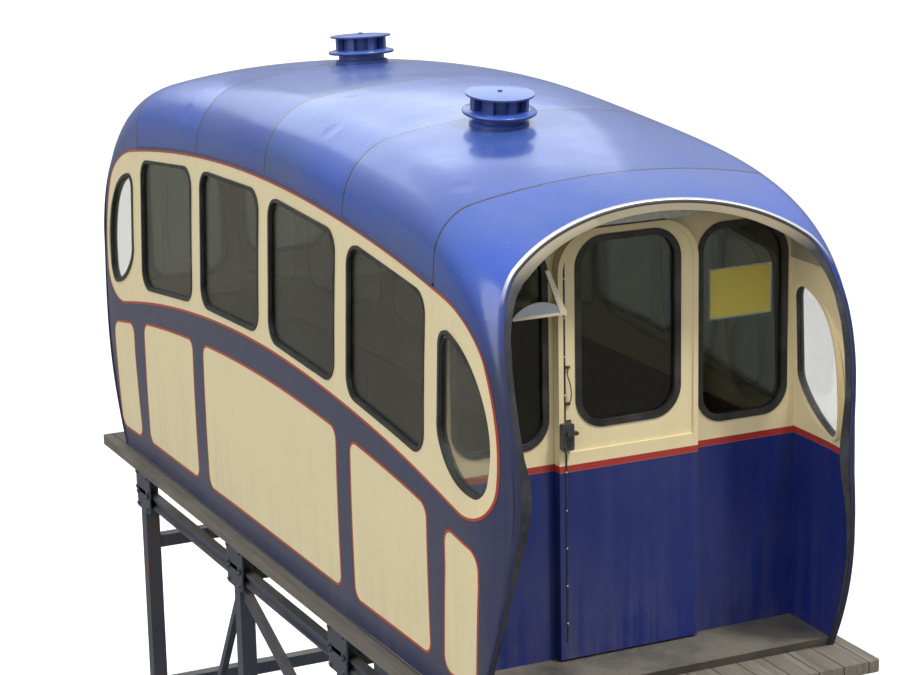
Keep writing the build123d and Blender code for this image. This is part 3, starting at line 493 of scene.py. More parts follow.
def rounded_panel(across, up, half_w, half_h, corner):
    """Distance outside a rounded panel, negative inside it."""
    return rounded_corner(abs(across) - half_w, abs(up) - half_h, corner)


def grime(finish, tone, amount):
    """Dust and rain marks, heavier low on the body. Gives the tone and where they are."""
    low = finish.height.below(0.25, 0.7)
    cloud = finish.noise(2.2, 6.0, 0.6)
    run = finish.noise(16.0, 4.0, 0.55, finish.stretched((1.0, 1.0, 0.06)))
    mask = (cloud * 0.5 + run * 0.5).above(0.55, 0.25) * (0.35 + low * 0.65) * amount
    return finish.blend(tone, (0.2, 0.17, 0.13), mask), mask


def porch_colours(finish):
    """Cream over royal blue with a red band between, as on the end walls and doors."""
    upper = finish.blend(ROYAL, CREAM, finish.height.above(BAND_Z, 0.002))
    return finish.blend(upper, RED, finish.height.near(BAND_Z + BAND_W / 2, BAND_W / 2, 0.002))


def brushed_coat(finish, mask):
    """Fine brush marks and faint hollows of hand painted sheet metal."""
    brush = finish.noise(120.0, 2.0, 0.5, finish.stretched((0.08, 0.08, 1.0)))
    hollow = finish.noise(2.6, 2.0, 0.4)
    dents = finish.bump(hollow, 0.35, 0.012)
    return finish.bump(brush + mask * 0.3, 0.12, 0.0008, dents)


SHEET = 1.05                # length of a roof sheet
SEAM_W = 0.013
SEAM_FOOT = 2.09            # the seams end here, just over the belt
HOOD_JOINT = 2.1


def sheet_seams(finish):
    """The butted joints of the roof sheets, which run down as far as the belt."""
    along = abs(finish.x)
    seam = along.near(HOOD_JOINT, SEAM_W / 2, 0.002)
    for k in (0, 1):
        seam = seam.larger(along.near(k * SHEET, SEAM_W / 2, 0.002))
    return seam


def window_belt(finish):
    """Distance outside the cream belt round the windows."""
    top = finish.height - arched(finish, BELT_TOP, BELT_TOP_FALL)
    foot = arched(finish, BELT_FOOT, BELT_FOOT_FALL) - finish.height
    beyond = (abs(finish.x) - BELT_END_X).larger(0.0)
    end = (beyond ** 2.0 + (finish.height - BELT_END_Z) ** 2.0) ** 0.5 - BELT_END_R
    return rounded_corner(rounded_corner(top, end, BELT_TOP_CORNER), foot, BELT_FOOT_CORNER)


def over_gutter(finish):
    """1 over the windows, where the blue is glossy and left bright, and 0 below them, where it is painted
    darker as shade.
    """
    return (finish.height + abs(finish.x) * GUTTER_FALL).above(GUTTER_Z, 0.45)


def blue_with_painted_shade(finish):
    """The one blue, painted dark navy below the windows as shade and bright over them, faded in large
    soft patches.
    """
    faded = finish.blend(BLUE, (0.045, 0.1, 0.33), finish.noise(1.1, 3.0, 0.45).above(0.5, 0.5))
    return finish.blend(SHADE_NAVY, faded, over_gutter(finish))


def lined_out(finish, region, ground):
    """Cream inside a region of the ground colour, edged with a red and a dark line."""
    tone = finish.blend(ground, CREAM, region.below(0.0, 0.0012))
    tone = finish.blend(tone, LINE_DARK, region.near(LINE_W * 0.75, 0.0022, 0.0012))
    return finish.blend(tone, LINE_RED, region.near(0.0, LINE_W / 2, 0.0012))


def side_paint():
    finish = Finish("side_paint")
    along = abs(finish.x)
    up = finish.height
    outside = (finish.normal()[1] * finish.y).above(-0.1, 0.05)
    low = arched(finish, PANEL_FOOT, PANEL_FOOT_FALL)
    high = arched(finish, PANEL_TOP, PANEL_TOP_FALL)
    middle = (low + high) / 2.0
    half = (high - low) / 2.0
    wide = rounded_panel(finish.x, up - middle, WIDE_HALF, half, PANEL_CORNER)
    square = rounded_panel(along - SQUARE_X, up - middle, SQUARE_HALF, half, PANEL_CORNER)
    shift = (NARROW_LEAN_Z - up).larger(0.0) * NARROW_LEAN
    downhill = finish.x.below(0.0, 0.01) * NARROW_DOWNHILL
    from_middle = abs(along - QUARTER_X - downhill + shift) - downhill
    drop = up - middle + NARROW_DROP
    narrow = rounded_panel(from_middle.larger(0.0), drop, NARROW_HALF, half, NARROW_CORNER)
    region = window_belt(finish).smaller(wide).smaller(square).smaller(narrow)
    gloss = over_gutter(finish)
    seam = sheet_seams(finish) * (up + finish.x * finish.x * BELT_TOP_FALL).above(SEAM_FOOT, 0.01)
    tone = lined_out(finish, region, finish.blend(blue_with_painted_shade(finish), SEAM_SHADE, seam))
    cabin = along.below(END_X - 0.02, 0.002)
    lining = finish.blend(CREAM, LINING_BROWN, cabin * up.below(BAND_Z, 0.002))
    inside = finish.blend(porch_colours(finish), lining, cabin)
    tone, dirt = grime(finish, finish.blend(inside, tone, outside), 0.22)
    return finish.set(
        Base_Color=tone, Roughness=0.33 + dirt * 0.4 - gloss * 0.12, Coat_Weight=0.25 + gloss * 0.3,
        Coat_Roughness=0.12, Normal=brushed_coat(finish, dirt),
    )


dress(side_paint(), "side_panel_left", "side_panel_right")


# Roof and hoods: rolled sheets in gloss blue, butted at seams over the window pillars
# and at the hood joints, with the belt's paint carried over the cheeks of the hoods.
# Cream inside, with the ceiling painted darker as shade. The sheets show soft dents and lie
# a little askew by turns, every other one painted darker for its shine, with painted shade
# and a painted highlight beside the seams.
BODY_AXIS_Z = 1.2           # the outside faces away from a line at this height


def roof_paint():
    finish = Finish("roof_paint")
    along = abs(finish.x)
    way = finish.normal()
    facing = finish.node(           # over zero where the surface faces outwards
        "ShaderNodeVectorMath", {"operation": "DOT_PRODUCT"},
        {0: finish.join(*way), 1: finish.join(0.0, finish.y, finish.height - BODY_AXIS_Z)}, "Value",
    )
    outside = facing.above(0.0, 0.02)
    seam = sheet_seams(finish)
    # A painted highlight on the raised lip just past each seam.
    seam_highlight = along.near(SHEET + SEAM_W, 0.003, 0.006).larger(along.near(SEAM_W, 0.003, 0.006))
    # Painted shade in a soft band beside the seams.
    fold_shade = along.near(SHEET - 0.03, 0.01, 0.06).larger(along.near(0.0, 0.01, 0.06))
    belt = window_belt(finish)
    above_belt = belt.above(0.02, 0.004)
    dull = finish.noise(1.1, 5.0, 0.55)
    speck = finish.noise(45.0, 4.0, 0.65)
    sheet = finish.x / SHEET + 8.0      # the 8 keeps the numbers of the sheets above zero
    number = finish.node("ShaderNodeMath", {"operation": "FLOOR"}, {0: sheet})
    odd = finish.node("ShaderNodeMath", {"operation": "MODULO"}, {0: number, 1: 2.0})
    # Every other sheet is painted a little darker as a painted difference in its shine.
    tone = finish.blend(blue_with_painted_shade(finish), (0.02, 0.04, 0.18), odd * 0.25 + fold_shade * 0.4)
    dust = way[2].above(0.75, 0.3) * finish.noise(2.5, 4.0, 0.5).above(0.52, 0.35)
    tone = finish.blend(tone, (0.15, 0.19, 0.32), dust * 0.25 + speck.above(0.66, 0.05) * 0.25)
    tone = finish.blend(tone, (0.16, 0.22, 0.45), seam_highlight * 0.5)
    tone = finish.blend(tone, SEAM_SHADE, seam)
    tone = finish.blend(lined_out(finish, belt, tone), tone, above_belt)
    # The cream ceiling is painted darker as shade.
    shaded_ceiling = finish.blend((0.4, 0.345, 0.26), (0.31, 0.27, 0.2), finish.noise(3.0).above(0.5, 0.4))
    tone = finish.blend(shaded_ceiling, tone, outside)
    hollow = finish.noise(1.9, 2.5, 0.45)
    ding = finish.node(
        "ShaderNodeTexVoronoi", {"feature": "F1"}, {"Vector": finish.place, "Scale": 2.3}, "Distance"
    )
    set_askew = finish.bump((sheet - number) * (odd - 0.35), 1.0, 0.06)
    dents = finish.bump(hollow - ding.below(0.1, 0.12) * 0.35, 0.55, 0.022, set_askew)
    edges = finish.bump(1.0 - seam * above_belt, 0.8, 0.004, dents)
    rough = 0.13 + dull * 0.12 + dust * 0.2 + odd * 0.1
    return finish.set(
        Base_Color=tone, Roughness=rough, Coat_Weight=0.55, Coat_Roughness=0.12,
        Normal=finish.bump(speck, 0.06, 0.001, edges),
    )


dress(roof_paint(), "roof_panels", "hood_uphill", "hood_downhill")


# Roof ventilators: spun and folded steel in the roof's blue, rubbed thin on the edges
# of the caps, with painted shade on the faces that look down.
def ventilator_paint():
    finish = Finish("ventilator_paint")
    cloud = finish.noise(6.0, 5.0, 0.6)
    chip = finish.noise(55.0, 4.0, 0.7).above(0.68, 0.03)
    under = finish.normal()[2].below(0.25, 0.5)
    tone = finish.blend(BLUE, (0.075, 0.13, 0.34), cloud)
    # Painted shade on the faces that look down.
    tone = finish.blend(tone, (0.015, 0.02, 0.055), under * 0.55)
    tone = finish.blend(tone, (0.2, 0.2, 0.24), chip * 0.6)
    return finish.set(
        Base_Color=tone, Roughness=0.22 + cloud * 0.2 + chip * 0.3, Coat_Weight=0.4, Coat_Roughness=0.1,
        Normal=finish.bump(cloud + chip * 0.3, 0.25, 0.002),
    )


dress(ventilator_paint(), "roof_ventilators")


# Door tracks: drawn aluminium strip over each sliding door, dull with weather, and
# screwed to the end wall. The studs of the doors are of the same metal.
ALUMINIUM = (0.62, 0.63, 0.64)


def bright_strip():
    finish = Finish("bright_strip")
    drawn = finish.noise(30.0, 3.0, 0.6)
    spot = finish.noise(140.0, 3.0, 0.7).above(0.62, 0.06)
    tone = finish.blend(ALUMINIUM, (0.4, 0.4, 0.4), drawn)
    tone = finish.blend(tone, (0.16, 0.15, 0.14), spot * 0.6)
    return finish.set(
        Base_Color=tone, Metallic=0.9, Roughness=0.28 + drawn * 0.2 + spot * 0.25,
        Normal=finish.bump(drawn + spot, 0.15, 0.0006),
    )


strip_metal = bright_strip()
dress(strip_metal, "door_track_uphill", "door_track_downhill")


# Mirror bracket: bent strip, painted cream and screwed beside the uphill door. The bare
# mirror plate sits in its corner, over the foot and outside the leaning stay, tinted
# blue-grey as a painted reflection of the sky.
MIRROR_FOOT = 1.758
STAY_Y = -0.42              # the stay at its foot, and its lean outwards with height
STAY_LEAN = 0.366


def mirror_paint():
    finish = Finish("mirror_paint")
    up = finish.height - MIRROR_FOOT
    plate = up.above(0.0005, 0.0005) * (finish.y - STAY_Y + up * STAY_LEAN).below(0.0, 0.001)
    cloud = finish.noise(25.0, 4.0, 0.6)
    chip = finish.noise(90.0, 3.0, 0.7).above(0.64, 0.05)
    coat = finish.blend((0.78, 0.7, 0.54), (0.6, 0.52, 0.4), cloud)
    coat = finish.blend(coat, (0.16, 0.13, 0.11), chip * 0.7)
    # The plate's blue-grey tint is a painted reflection of the sky.
    tone = finish.blend(coat, (0.5, 0.56, 0.68), plate)
    return finish.set(
        Base_Color=tone, Metallic=plate * 0.85, Roughness=0.42 - plate * 0.28 + cloud * 0.1,
        Normal=finish.bump(cloud + chip, 0.15, 0.0006),
    )


dress(mirror_paint(), "mirror_bracket")

# Drip mouldings over the windows: narrow strip fixed along the sides and brushed over
# with a dark blue.
dress(weathered_paint("drip_paint", (0.03, 0.05, 0.16), 0.5, 0.85), "drip_mouldings")


# Glazing rubbers: black extruded rubber, greyed on its crown. Those of the quarter
# lights have inner lips in the porches, which are painted over with the wall.
QUARTER_Z = 1.37
SKIN_AT = (2.36, 0.968, 1.5)    # a point on the skin beside a quarter light
SKIN_IN_X = 0.037           # from there the skin draws in with x and with height,
SKIN_IN_Z = 0.035
SKIN_BEND = 0.35            # and further with the square of x
LIP_IN = 0.014              # the inner lips lie further in than this


def black_rubber(name, painted_lips):
    finish = Finish(name)
    bloom = finish.noise(7.0, 5.0, 0.6)
    grain = finish.noise(300.0, 2.0)
    tone = finish.blend((0.011, 0.011, 0.012), (0.045, 0.044, 0.042), bloom.above(0.5, 0.3))
    if painted_lips:
        way = finish.normal()
        along = abs(finish.x)
        up = finish.height
        past = along - SKIN_AT[0]
        skin = SKIN_AT[1] - past * SKIN_IN_X - (up - SKIN_AT[2]) * SKIN_IN_Z - past * past * SKIN_BEND
        indoors = (abs(finish.y) - skin).below(-LIP_IN, 0.006)
        from_middle = (along - QUARTER_X) * way[0] * finish.x / along + (up - QUARTER_Z) * way[2]
        facing = way[1] * finish.y
        edge = facing.below(0.1, 0.1) * from_middle.above(0.02, 0.01) * indoors
        lips = facing.below(-0.45, 0.1).larger(edge) * along.above(END_X, 0.004)
        tone = finish.blend(tone, CREAM, lips)
    return finish.set(
        Base_Color=tone, Roughness=0.4 + bloom * 0.25, Normal=finish.bump(grain, 0.12, 0.0004),
    )


rubber = black_rubber("black_rubber", False)
dress(rubber, "end_rubber_uphill", "end_rubber_downhill", "door_rubber_uphill", "door_rubber_downhill")
dress(black_rubber("side_rubber", True), "window_rubber_left", "window_rubber_right")


# Glass: flat toughened panes with a dark tint and a film of dust; the tint is made darker
# as painted shade of the cabin behind. The quarter lights of the porches are half as dark,
# and the pane is clear in front of the notice sheet.
NOTICE_AT = (2.1, 0.655, 1.698)     # the pane before it is further out than this x
NOTICE_HALF = (0.175, 0.125)
QUARTER_OUT = 0.88          # the quarter lights are further out than this, in the porches


def pane_glass():
    finish = Finish("pane_glass")
    film = finish.noise(5.0, 6.0, 0.65)
    smear = finish.noise(20.0, 4.0, 0.6, finish.stretched((1.0, 1.0, 0.2)))
    rough = 0.02 + film.above(0.5, 0.3) * 0.05 + smear.above(0.6, 0.1) * 0.03
    ripple = finish.bump(finish.noise(1.5, 1.0), 0.08, 0.004)
    across = finish.y.near(NOTICE_AT[1], NOTICE_HALF[0], 0.01)
    up = finish.height.near(NOTICE_AT[2], NOTICE_HALF[1], 0.01)
    clear = across * up * finish.x.above(NOTICE_AT[0], 0.01)
    quarter = abs(finish.y).above(QUARTER_OUT, 0.01) * abs(finish.x).above(END_X + 0.02, 0.005)
    # The dark tint is partly painted shade of the cabin behind.
    return finish.set(
        Base_Color=(0.14, 0.165, 0.15), Roughness=rough, Transmission_Weight=1.0, IOR=1.45,
        Alpha=0.72 - clear * 0.66 - quarter * 0.36, Normal=ripple,
    )


dress(
    pane_glass(), "side_glass_left", "side_glass_right", "end_glass_uphill", "end_glass_downhill",
    "door_glass_uphill", "door_glass_downhill",
)


# End walls and sliding doors: sheet panels, cream above a red band and royal blue
# below, scuffed where hands and boots reach. A black cast lock box stands on the leaf.
LEAF_FACE = 2.220           # front of a door's raised panel along X
LOCK_Z = 1.13
LOCK_BOX_Y = -0.335
LOCK_BOX_HALF = (0.044, 0.072)


def end_paint(name, is_door):
    finish = Finish(name)
    tone = porch_colours(finish)
    if not is_door:
        facing = (finish.normal()[0] * finish.x).above(-0.1, 0.05)
        lining = finish.blend(CREAM, LINING_BROWN, finish.height.below(BAND_Z, 0.002))
        tone = finish.blend(lining, tone, facing)
    scuff = finish.noise(35.0, 5.0, 0.7, finish.stretched((1.0, 0.5, 2.0))).above(0.64, 0.04)
    low = finish.height.below(0.3, 0.5)
    tone = finish.blend(tone, (0.1, 0.1, 0.12), scuff * low * 0.5)
    tone, dirt = grime(finish, tone, 0.3)
    if is_door:
        leaf_y = finish.y * finish.x.maths("SIGN")
        up = finish.height.near(LOCK_Z, LOCK_BOX_HALF[1], 0.002)
        lock = leaf_y.near(LOCK_BOX_Y, LOCK_BOX_HALF[0], 0.002) * up
        lock = lock * abs(finish.x).above(LEAF_FACE + 0.001, 0.001)
        black = finish.blend((0.02, 0.02, 0.022), (0.07, 0.07, 0.07), finish.noise(50.0, 4.0, 0.7))
        tone = finish.blend(tone, black, lock)
    return finish.set(
        Base_Color=tone, Roughness=0.3 + dirt * 0.3 + scuff * low * 0.2, Coat_Weight=0.2,
        Coat_Roughness=0.15, Normal=brushed_coat(finish, scuff * low),
    )


dress(end_paint("end_wall_paint", False), "end_wall_uphill", "end_wall_downhill")
dress(end_paint("door_paint", True), "door_uphill", "door_downhill")


# Safety edge down the closing stile of each door: a flat dark strip held by bright studs,
# in two lengths, since the upper half of the leaf stands further back.
def on_leaf(end, out, across, up):
    """A place on the leaf at one end, from its raised face, its middle and the floor."""
    return Vector((end * (LEAF_FACE + out), end * across, floor_top + up))


STRIP_Y = -0.342
STRIP_FOOT = 0.1
LEDGE = 1.045
LEDGE_STEP = 0.01
STRIP_HEAD = 1.98
STRIP_T = 0.004
STRIP_W = 0.009
STUD_GAP = 0.16
STUD_R = 0.0055


def safety_edge(end, name):
    strip = bmesh.new()
    studs = bmesh.new()
    for z0, z1, back in ((STRIP_FOOT, LEDGE, 0.0), (LEDGE, STRIP_HEAD, -LEDGE_STEP)):
        tall = z1 - z0
        block(strip, on_leaf(end, back + STRIP_T / 2, STRIP_Y, (z0 + z1) / 2), (STRIP_T, STRIP_W, tall))
        count = int(tall / STUD_GAP)
        for k in range(count):
            foot = on_leaf(end, back + STRIP_T, STRIP_Y, z0 + (k + 0.5) * tall / count)
            rivet(studs, foot, (end, 0, 0), STUD_R)
    to_piece("door_safety_edge_" + name, strip, rubber, "sliding_door_" + name, 0.001)
    to_piece("door_safety_studs_" + name, studs, strip_metal, "sliding_door_" + name)


# Lock fittings and pull of each door: a packing plate behind the lock box, a keyhole
# plate and two screws on its face, and over it a loop of stiff wire held by two staples.
LOCK_Y = -0.344
LOCK_FACE = 0.03            # how far the lock box stands off the leaf
PACKING = (0.0098, 0.062, 0.15)
PACKING_OUT = -0.005
SCREW_AT = (-0.018, 0.05)   # across the lock, and up or down from its middle
SCREW_R = 0.006
KEYHOLE = (0.003, 0.022, 0.034)
KEYHOLE_AT = (0.006, -0.03)
STAPLE = (0.014, 0.02, 0.012)
STAPLE_OUT = -0.004
WIRE_R = 0.0028
WIRE_OUT = -0.006
PULL_Y = -0.327
PULL_FOOT = 1.285
PULL_HEAD = 1.462
PULL_WIRE = [               # across the leaf, height and stand-off of the wire
    (0.0, PULL_HEAD, 0.0), (0.0, PULL_HEAD, 0.012), (-0.012, 1.43, 0.016), (0.003, 1.39, 0.018),
    (0.011, 1.34, 0.018), (0.008, 1.30, 0.014), (-0.004, PULL_FOOT, 0.01), (-0.004, PULL_FOOT, 0.0),
]


def lock_fittings(end, name):
    lock = bmesh.new()
    block(lock, on_leaf(end, PACKING_OUT, LOCK_Y, LOCK_Z), PACKING)
    for k in (-1, 1):
        foot = on_leaf(end, LOCK_FACE, LOCK_Y + SCREW_AT[0], LOCK_Z + k * SCREW_AT[1])
        rivet(lock, foot, (end, 0, 0), SCREW_R)
    block(lock, on_leaf(end, LOCK_FACE + 0.001, LOCK_Y + KEYHOLE_AT[0], LOCK_Z + KEYHOLE_AT[1]), KEYHOLE)
    for z in (PULL_FOOT, PULL_HEAD):
        block(lock, on_leaf(end, STAPLE_OUT, PULL_Y, z), STAPLE)
    to_piece("door_lock_fittings_" + name, lock, castings, "sliding_door_" + name, 0.0015)


def wire_pull(end, name):
    wire = bpy.data.curves.new("pull_path", "CURVE")
    wire.dimensions = "3D"
    wire.bevel_depth = WIRE_R
    wire.bevel_resolution = 3
    loop = wire.splines.new("NURBS")
    loop.points.add(len(PULL_WIRE) - 1)
    for point, (across, up, out) in zip(loop.points, PULL_WIRE):
        point.co = (*on_leaf(end, WIRE_OUT + out, PULL_Y + across, up), 1.0)
    loop.order_u = 3
    loop.use_endpoint_u = True
    pull = bmesh.new()
    pull.from_mesh(bpy.data.objects.new("pull_path", wire).to_mesh())
    to_piece("door_pull_" + name, pull, castings, "sliding_door_" + name)


for end, name in ((1, "uphill"), (-1, "downhill")):
    safety_edge(end, name)
    lock_fittings(end, name)
    wire_pull(end, name)


# Rim trim: a bright bead, a capping and a lining on the cut edge of the body round each
# porch. Down the sides the bead and the capping are painted over with the body. They
# stand in for the plain strip of the frame.
RIM_X = 0.445               # centre of the arc of a rim in side view
RIM_Z = 1.038
MIDDLE_Z = 1.1              # a rim's points are put in order round this height
TRIM_WIDE = 0.039           # thickness of the wall with the strip that stands proud of it
BEAD_OUT = 0.0068           # where the bead ends, and the capping begins and ends, inwards
CAPPING_IN = 0.007
CAPPING_OUT = 0.023
TRIM_DEEP = 0.0118
HEAD_Z = 1.97               # over this height the bead is bare metal
HEAD_BLUE_Z = 1.85
HEAD_CREAM_Z = 2.03
FRONT_LIKE = 0.98           # how nearly a face looks to the front, down and to the side
FLOOR_LIKE = 0.9
SIDE_LIKE = 0.3


def rim_path(end):
    """Outer front edge of a rim trim: points, each with its skin and face directions.
    They come from the edges of the strip where a front face meets an outer side face."""
    work = bmesh.new()
    work.from_mesh(nodes["rim_beads"].data)
    bmesh.ops.remove_doubles(work, verts=work.verts, dist=2e-5)
    skins = {}
    for edge in work.edges:
        middle = (edge.verts[0].co + edge.verts[1].co) / 2
        if len(edge.link_faces) != 2 or middle.x * end < 0:
            continue
        face_way = Vector((middle.x - end * RIM_X, 0, middle.z - floor_top - RIM_Z)).normalized()
        outward = Vector((0, middle.y, middle.z - floor_top - MIDDLE_Z)).normalized()
        fronts = [f for f in edge.link_faces if f.normal.dot(face_way) > FRONT_LIKE]
        sides = [f for f in edge.link_faces if f not in fronts and f.normal.z > -FLOOR_LIKE]
        sides = [f for f in sides if f.normal.dot(outward) > SIDE_LIKE]
        if len(fronts) == 1 and len(sides) == 1:
            for vert in edge.verts:
                skins.setdefault(vert, []).append(sides[0].normal.copy())
    path = []
    for vert, normals in skins.items():
        at = vert.co.copy()
        face_way = Vector((at.x - end * RIM_X, 0, at.z - floor_top - RIM_Z)).normalized()
        skin = sum(normals, Vector()).normalized()
        path.append((math.atan2(at.y, at.z - floor_top - MIDDLE_Z), at, skin, face_way))
    work.free()
    path.sort(key=lambda row: row[0])
    return [row[1:] for row in path]


def sweep(work, path, profile):
    """Runs a closed profile along a rim path. Each of its points is a distance across the
    face, a share of the face's whole width to add, and a distance back along the skin."""
    rings = []
    for at, skin, face_way in path:
        across = (face_way * skin.dot(face_way) - skin).normalized()
        back = (skin * face_way.dot(skin) - face_way).normalized()
        wide = TRIM_WIDE / skin.cross(face_way).length
        rings.append([work.verts.new(at + across * (a + s * wide) + back * b) for a, s, b in profile])
    for first, second in zip(rings, rings[1:]):
        for k in range(len(profile)):
            following = (k + 1) % len(profile)
            work.faces.new((first[k], first[following], second[following], second[k]))
    work.faces.new(rings[0])
    work.faces.new(reversed(rings[-1]))


def rim_finish(name, head_tone, metal):
    """A trim that is painted with the body down the sides and left plain over the head."""
    finish = Finish(name)
    cloud = finish.noise(9.0, 5.0, 0.6)
    worn = finish.noise(60.0, 4.0, 0.7).above(0.66, 0.04)
    head = finish.height.above(HEAD_Z, 0.14)
    # Down the sides the body's blue is painted darker low down as shade.
    side = finish.blend(SHADE_NAVY, BLUE, finish.height.above(HEAD_BLUE_Z, 0.45))
    side = finish.blend(side, (0.012, 0.015, 0.04), cloud.above(0.5, 0.3) * 0.5)
    tone = finish.blend(side, head_tone, head)
    tone = finish.blend(tone, (0.1, 0.095, 0.09), worn * 0.4)
    return finish.set(
        Base_Color=tone, Metallic=head * metal, Roughness=0.36 + cloud * 0.15,
        Normal=finish.bump(cloud, 0.2, 0.001),
    )


def shaded_rim_lining():
    """The painted edge inside the capping, painted as shade: near black down the sides and a darkened
    cream over the head.
    """
    finish = Finish("shaded_rim_lining")
    cloud = finish.noise(9.0, 5.0, 0.6)
    worn = finish.noise(60.0, 4.0, 0.7).above(0.66, 0.04)
    # Both tones are painted shade: near black down the sides, a darkened cream over the head.
    dark = finish.blend((0.012, 0.013, 0.02), (0.04, 0.042, 0.052), cloud.above(0.5, 0.3))
    tone = finish.blend(dark, (0.22, 0.18, 0.11), finish.height.above(HEAD_CREAM_Z, 0.12))
    tone = finish.blend(tone, (0.12, 0.1, 0.08), worn * 0.5)
    return finish.set(Base_Color=tone, Roughness=0.4 + cloud * 0.2, Normal=finish.bump(cloud, 0.2, 0.001))


BEAD_SECTION = [
    (0.0, 0.0, TRIM_DEEP), (0.0, 0.0, 0.0012), (0.001, 0.0, 0.0), (0.0055, 0.0, 0.0),
    (BEAD_OUT, 0.0, 0.002), (BEAD_OUT, 0.0, TRIM_DEEP),
]
CAPPING_SECTION = [
    (CAPPING_IN, 0.0, TRIM_DEEP), (CAPPING_IN, 0.0, 0.004), (0.0085, 0.0, 0.0016),
    (0.011, 0.0, 0.0004), (0.018, 0.0, 0.0004), (0.0215, 0.0, 0.002),
    (CAPPING_OUT, 0.0, 0.005), (CAPPING_OUT, 0.0, TRIM_DEEP),
]
LINING_SECTION = [
    (CAPPING_OUT + 0.0002, 0.0, TRIM_DEEP), (CAPPING_OUT + 0.0002, 0.0, 0.0045),
    (-0.002, 1.0, 0.0045), (0.0, 1.0, 0.0065), (0.0, 1.0, TRIM_DEEP),
]
TRIMS = [
    ("bright", BEAD_SECTION, rim_finish("rim_bead", ALUMINIUM, 0.9), "bright_metal"),
    ("rubber", CAPPING_SECTION, rim_finish("rim_capping", (0.014, 0.014, 0.016), 0.0), "rubber"),
    ("lining", LINING_SECTION, shaded_rim_lining(), "end_paint"),
]
for end, name in ((1, "uphill"), (-1, "downhill")):
    path = rim_path(end)
    for part, section, material, slot in TRIMS:
        trim = bmesh.new()
        sweep(trim, path, section)
        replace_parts(to_piece(f"rim_{part}_{name}", trim, material, "car"), "rim_beads")


# Benches along both sides: hardwood slats side by side, each of its own shade, oiled
# and worn smooth.
SLAT_Y = 0.476              # inner edge of the first slat
SLAT_W = 0.08


def bench_timber():
    finish = Finish("bench_timber")
    slat = finish.node("ShaderNodeMath", {"operation": "FLOOR"}, {0: (abs(finish.y) - SLAT_Y) / SLAT_W})
    tint = finish.node("ShaderNodeTexWhiteNoise", {"noise_dimensions": "1D"}, {"W": slat}, "Value")
    grain = finish.noise(10.0, 8.0, 0.7, finish.stretched((0.3, 5.0, 5.0)))
    ring = finish.noise(3.0, 3.0, 0.5, finish.stretched((0.5, 12.0, 12.0)))
    tone = finish.node(
        "ShaderNodeValToRGB",
        {"stops": [(0.2, (0.06, 0.026, 0.011)), (0.5, (0.15, 0.07, 0.03)), (0.85, (0.26, 0.14, 0.065))]},
        {0: grain * 0.5 + ring * 0.3 + tint * 0.25},
    )
    return finish.set(
        Base_Color=tone, Roughness=0.32 + grain * 0.25, Coat_Weight=0.3,
        Normal=finish.bump(grain, 0.25, 0.001),
    )


dress(bench_timber(), "bench_left", "bench_right")


# Floor: dark boards laid across the cabin, and a ribbed covering on the porch floors,
# both dusty where feet have trodden.
RIB_WAVE = 420.0            # the wave of the ribs, in radians to a metre
BOARD_W = 0.09


def floor_covering():
    finish = Finish("floor_covering")
    rib = finish.node("ShaderNodeMath", {"operation": "SINE"}, {0: finish.y * RIB_WAVE})
    dirt = finish.noise(3.0, 6.0, 0.65)
    covering = finish.blend((0.05, 0.048, 0.046), (0.15, 0.135, 0.11), dirt.above(0.45, 0.3))
    across = finish.node("ShaderNodeMath", {"operation": "FRACT"}, {0: finish.x / BOARD_W})
    gap = across.near(0.5, 0.09, 0.04)
    grain = finish.noise(12.0, 8.0, 0.7, finish.stretched((5.0, 0.3, 5.0)))
    board = finish.blend((0.1, 0.045, 0.02), (0.24, 0.13, 0.065), grain)
    board = finish.blend(board, (0.012, 0.008, 0.005), gap)
    board = finish.blend(board, covering, dirt.above(0.62, 0.2) * 0.5)
    cabin = abs(finish.x).below(END_X - 0.03, 0.002)
    tone = finish.blend(covering, board, cabin)
    relief = rib * (1.0 - cabin) * 0.4 + (grain * 0.3 - gap) * cabin
    return finish.set(Base_Color=tone, Roughness=0.5 + dirt * 0.3, Normal=finish.bump(relief, 0.5, 0.002))


dress(floor_covering(), "floor")


# Ceiling lamps: moulded opal covers, a little yellowed with age, screwed to the ceiling
# over the gangway.
def opal_plastic():
    finish = Finish("opal_plastic")
    age = finish.noise(12.0, 4.0)
    tone = finish.blend((0.84, 0.82, 0.74), (0.7, 0.66, 0.54), age)
    return finish.set(Base_Color=tone, Roughness=0.3 + age * 0.2, Normal=finish.bump(age, 0.05, 0.001))


dress(opal_plastic(), "ceiling_lamps")


# Notice board: a blank yellow sheet behind the glass of an end light, faded by the sun
# and slightly wavy.
def notice_sheet():
    finish = Finish("notice_sheet")
    fade = finish.noise(6.0, 4.0)
    tone = finish.blend((0.72, 0.58, 0.08), (0.6, 0.5, 0.14), fade)
    wave = finish.noise(9.0, 1.0)
    return finish.set(Base_Color=tone, Roughness=0.5 + fade * 0.2, Normal=finish.bump(wave, 0.2, 0.004))


dress(notice_sheet(), "notice_board")

# Stage floor: plain and pale under the lowest point of the car. Reflections see a darker
# and warmer floor than the camera does.
STAGE_REACH = 140.0
floor_mesh = bpy.data.meshes.new("stage_floor")
outline = ((-1, -1), (1, -1), (1, 1), (-1, 1))
corners = [(x * STAGE_REACH, y * STAGE_REACH, cad_box[0].z) for x, y in outline]
floor_mesh.from_pydata(corners, [], [(0, 1, 2, 3)])
stage_floor = bpy.data.objects.new("stage_floor", floor_mesh)
bpy.context.scene.collection.objects.link(stage_floor)
floor_finish = Finish("stage_floor")
seen = floor_finish.node("ShaderNodeLightPath", output="Is Camera Ray")
floor_tone = floor_finish.blend((0.17, 0.165, 0.13), (0.8, 0.8, 0.79), seen)
floor_mesh.materials.append(floor_finish.set(Base_Color=floor_tone, Roughness=0.9))


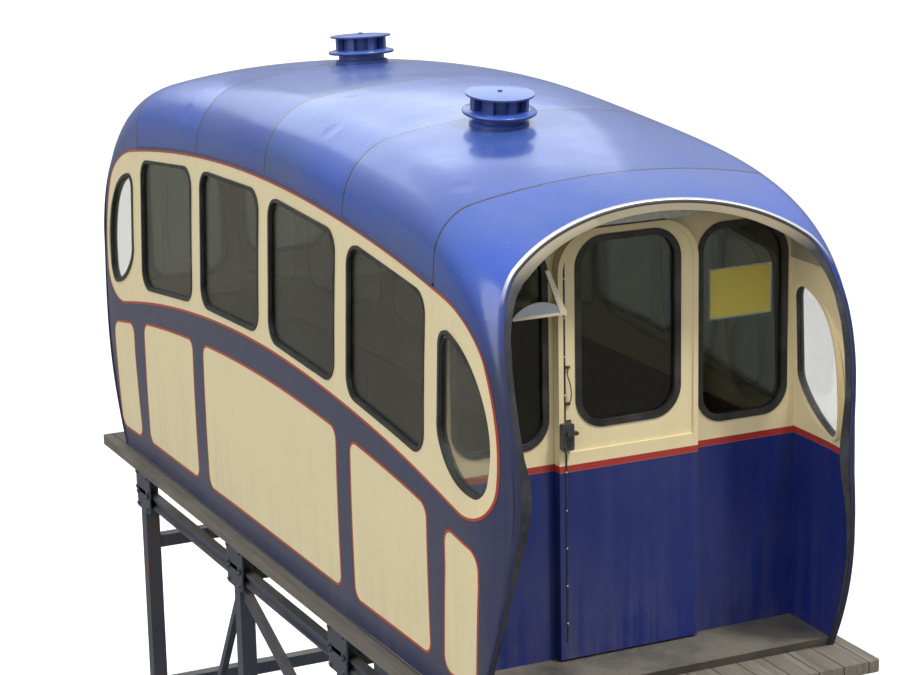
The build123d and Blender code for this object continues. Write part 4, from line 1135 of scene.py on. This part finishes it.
# Studio: a pale room all round whose walls are darker than its ceiling. The camera sees
# it as plain white.
class Surround(Finish):
    """The world's shader, made with the same nodes as a finish."""

    def __init__(self, name):
        self.material = bpy.data.worlds.new(name)
        self.material.use_nodes = True
        self.tree = self.material.node_tree
        self.shader = self.tree.nodes["Background"]


studio = Surround("studio")
rise = studio.split(studio.node("ShaderNodeTexCoord", output="Generated"))[2]
seen = studio.node("ShaderNodeLightPath", output="Is Camera Ray")
room = studio.node(
    "ShaderNodeMapRange", {"interpolation_type": "SMOOTHSTEP"},
    {"Value": rise, "From Min": -0.05, "From Max": 0.6, "To Min": 0.3, "To Max": 0.95},
)
strength = studio.node("ShaderNodeMix", None, {"Factor": seen, "A": room, "B": 1.0})
tint = studio.blend((0.93, 0.96, 1.0), (1.0, 1.0, 1.0), seen)
bpy.context.scene.world = studio.set(Color=tint, Strength=strength)


# Lamps: a warm key from above and a wide cool fill from the left, both as suns, and a
# large pale softbox behind the car that draws the shine along the roof.
def aimed(name, light, towards):
    """Adds a lamp that shines from a direction."""
    lamp = bpy.data.objects.new(name, light)
    bpy.context.scene.collection.objects.link(lamp)
    lamp.rotation_euler = Vector(towards).to_track_quat("Z", "Y").to_euler()
    return lamp


SUNS = [                    # name, way to the lamp, strength, width in degrees and colour
    ("key", (0.6, 0.35, 1.3), 2.4, 9.0, (1.0, 0.97, 0.91)),
    ("fill", (0.3, -1.0, 0.55), 1.3, 50.0, (0.95, 0.97, 1.0)),
]
SOFTBOX_AT = Vector((-15.0, 2.0, 9.5))
SOFTBOX_AIM = Vector((0.0, 0.0, 1.8))
SOFTBOX_SIZE = (16.0, 6.0)
SOFTBOX_POWER = 430.0
light = bpy.data.lights.new("softbox", "AREA")
light.shape = "RECTANGLE"
light.size, light.size_y = SOFTBOX_SIZE
light.energy = SOFTBOX_POWER
light.color = (0.75, 0.87, 1.0)
softbox = aimed("softbox", light, SOFTBOX_AT - SOFTBOX_AIM)
softbox.visible_camera = False
softbox.location = SOFTBOX_AT + Vector((0, 0, floor_top))
for name, towards, power, width, colour in SUNS:
    light = bpy.data.lights.new(name, "SUN")
    light.energy = power
    light.angle = math.radians(width)
    light.color = colour
    aimed(name, light, towards)

bpy.context.scene.view_settings.view_transform = "Standard"
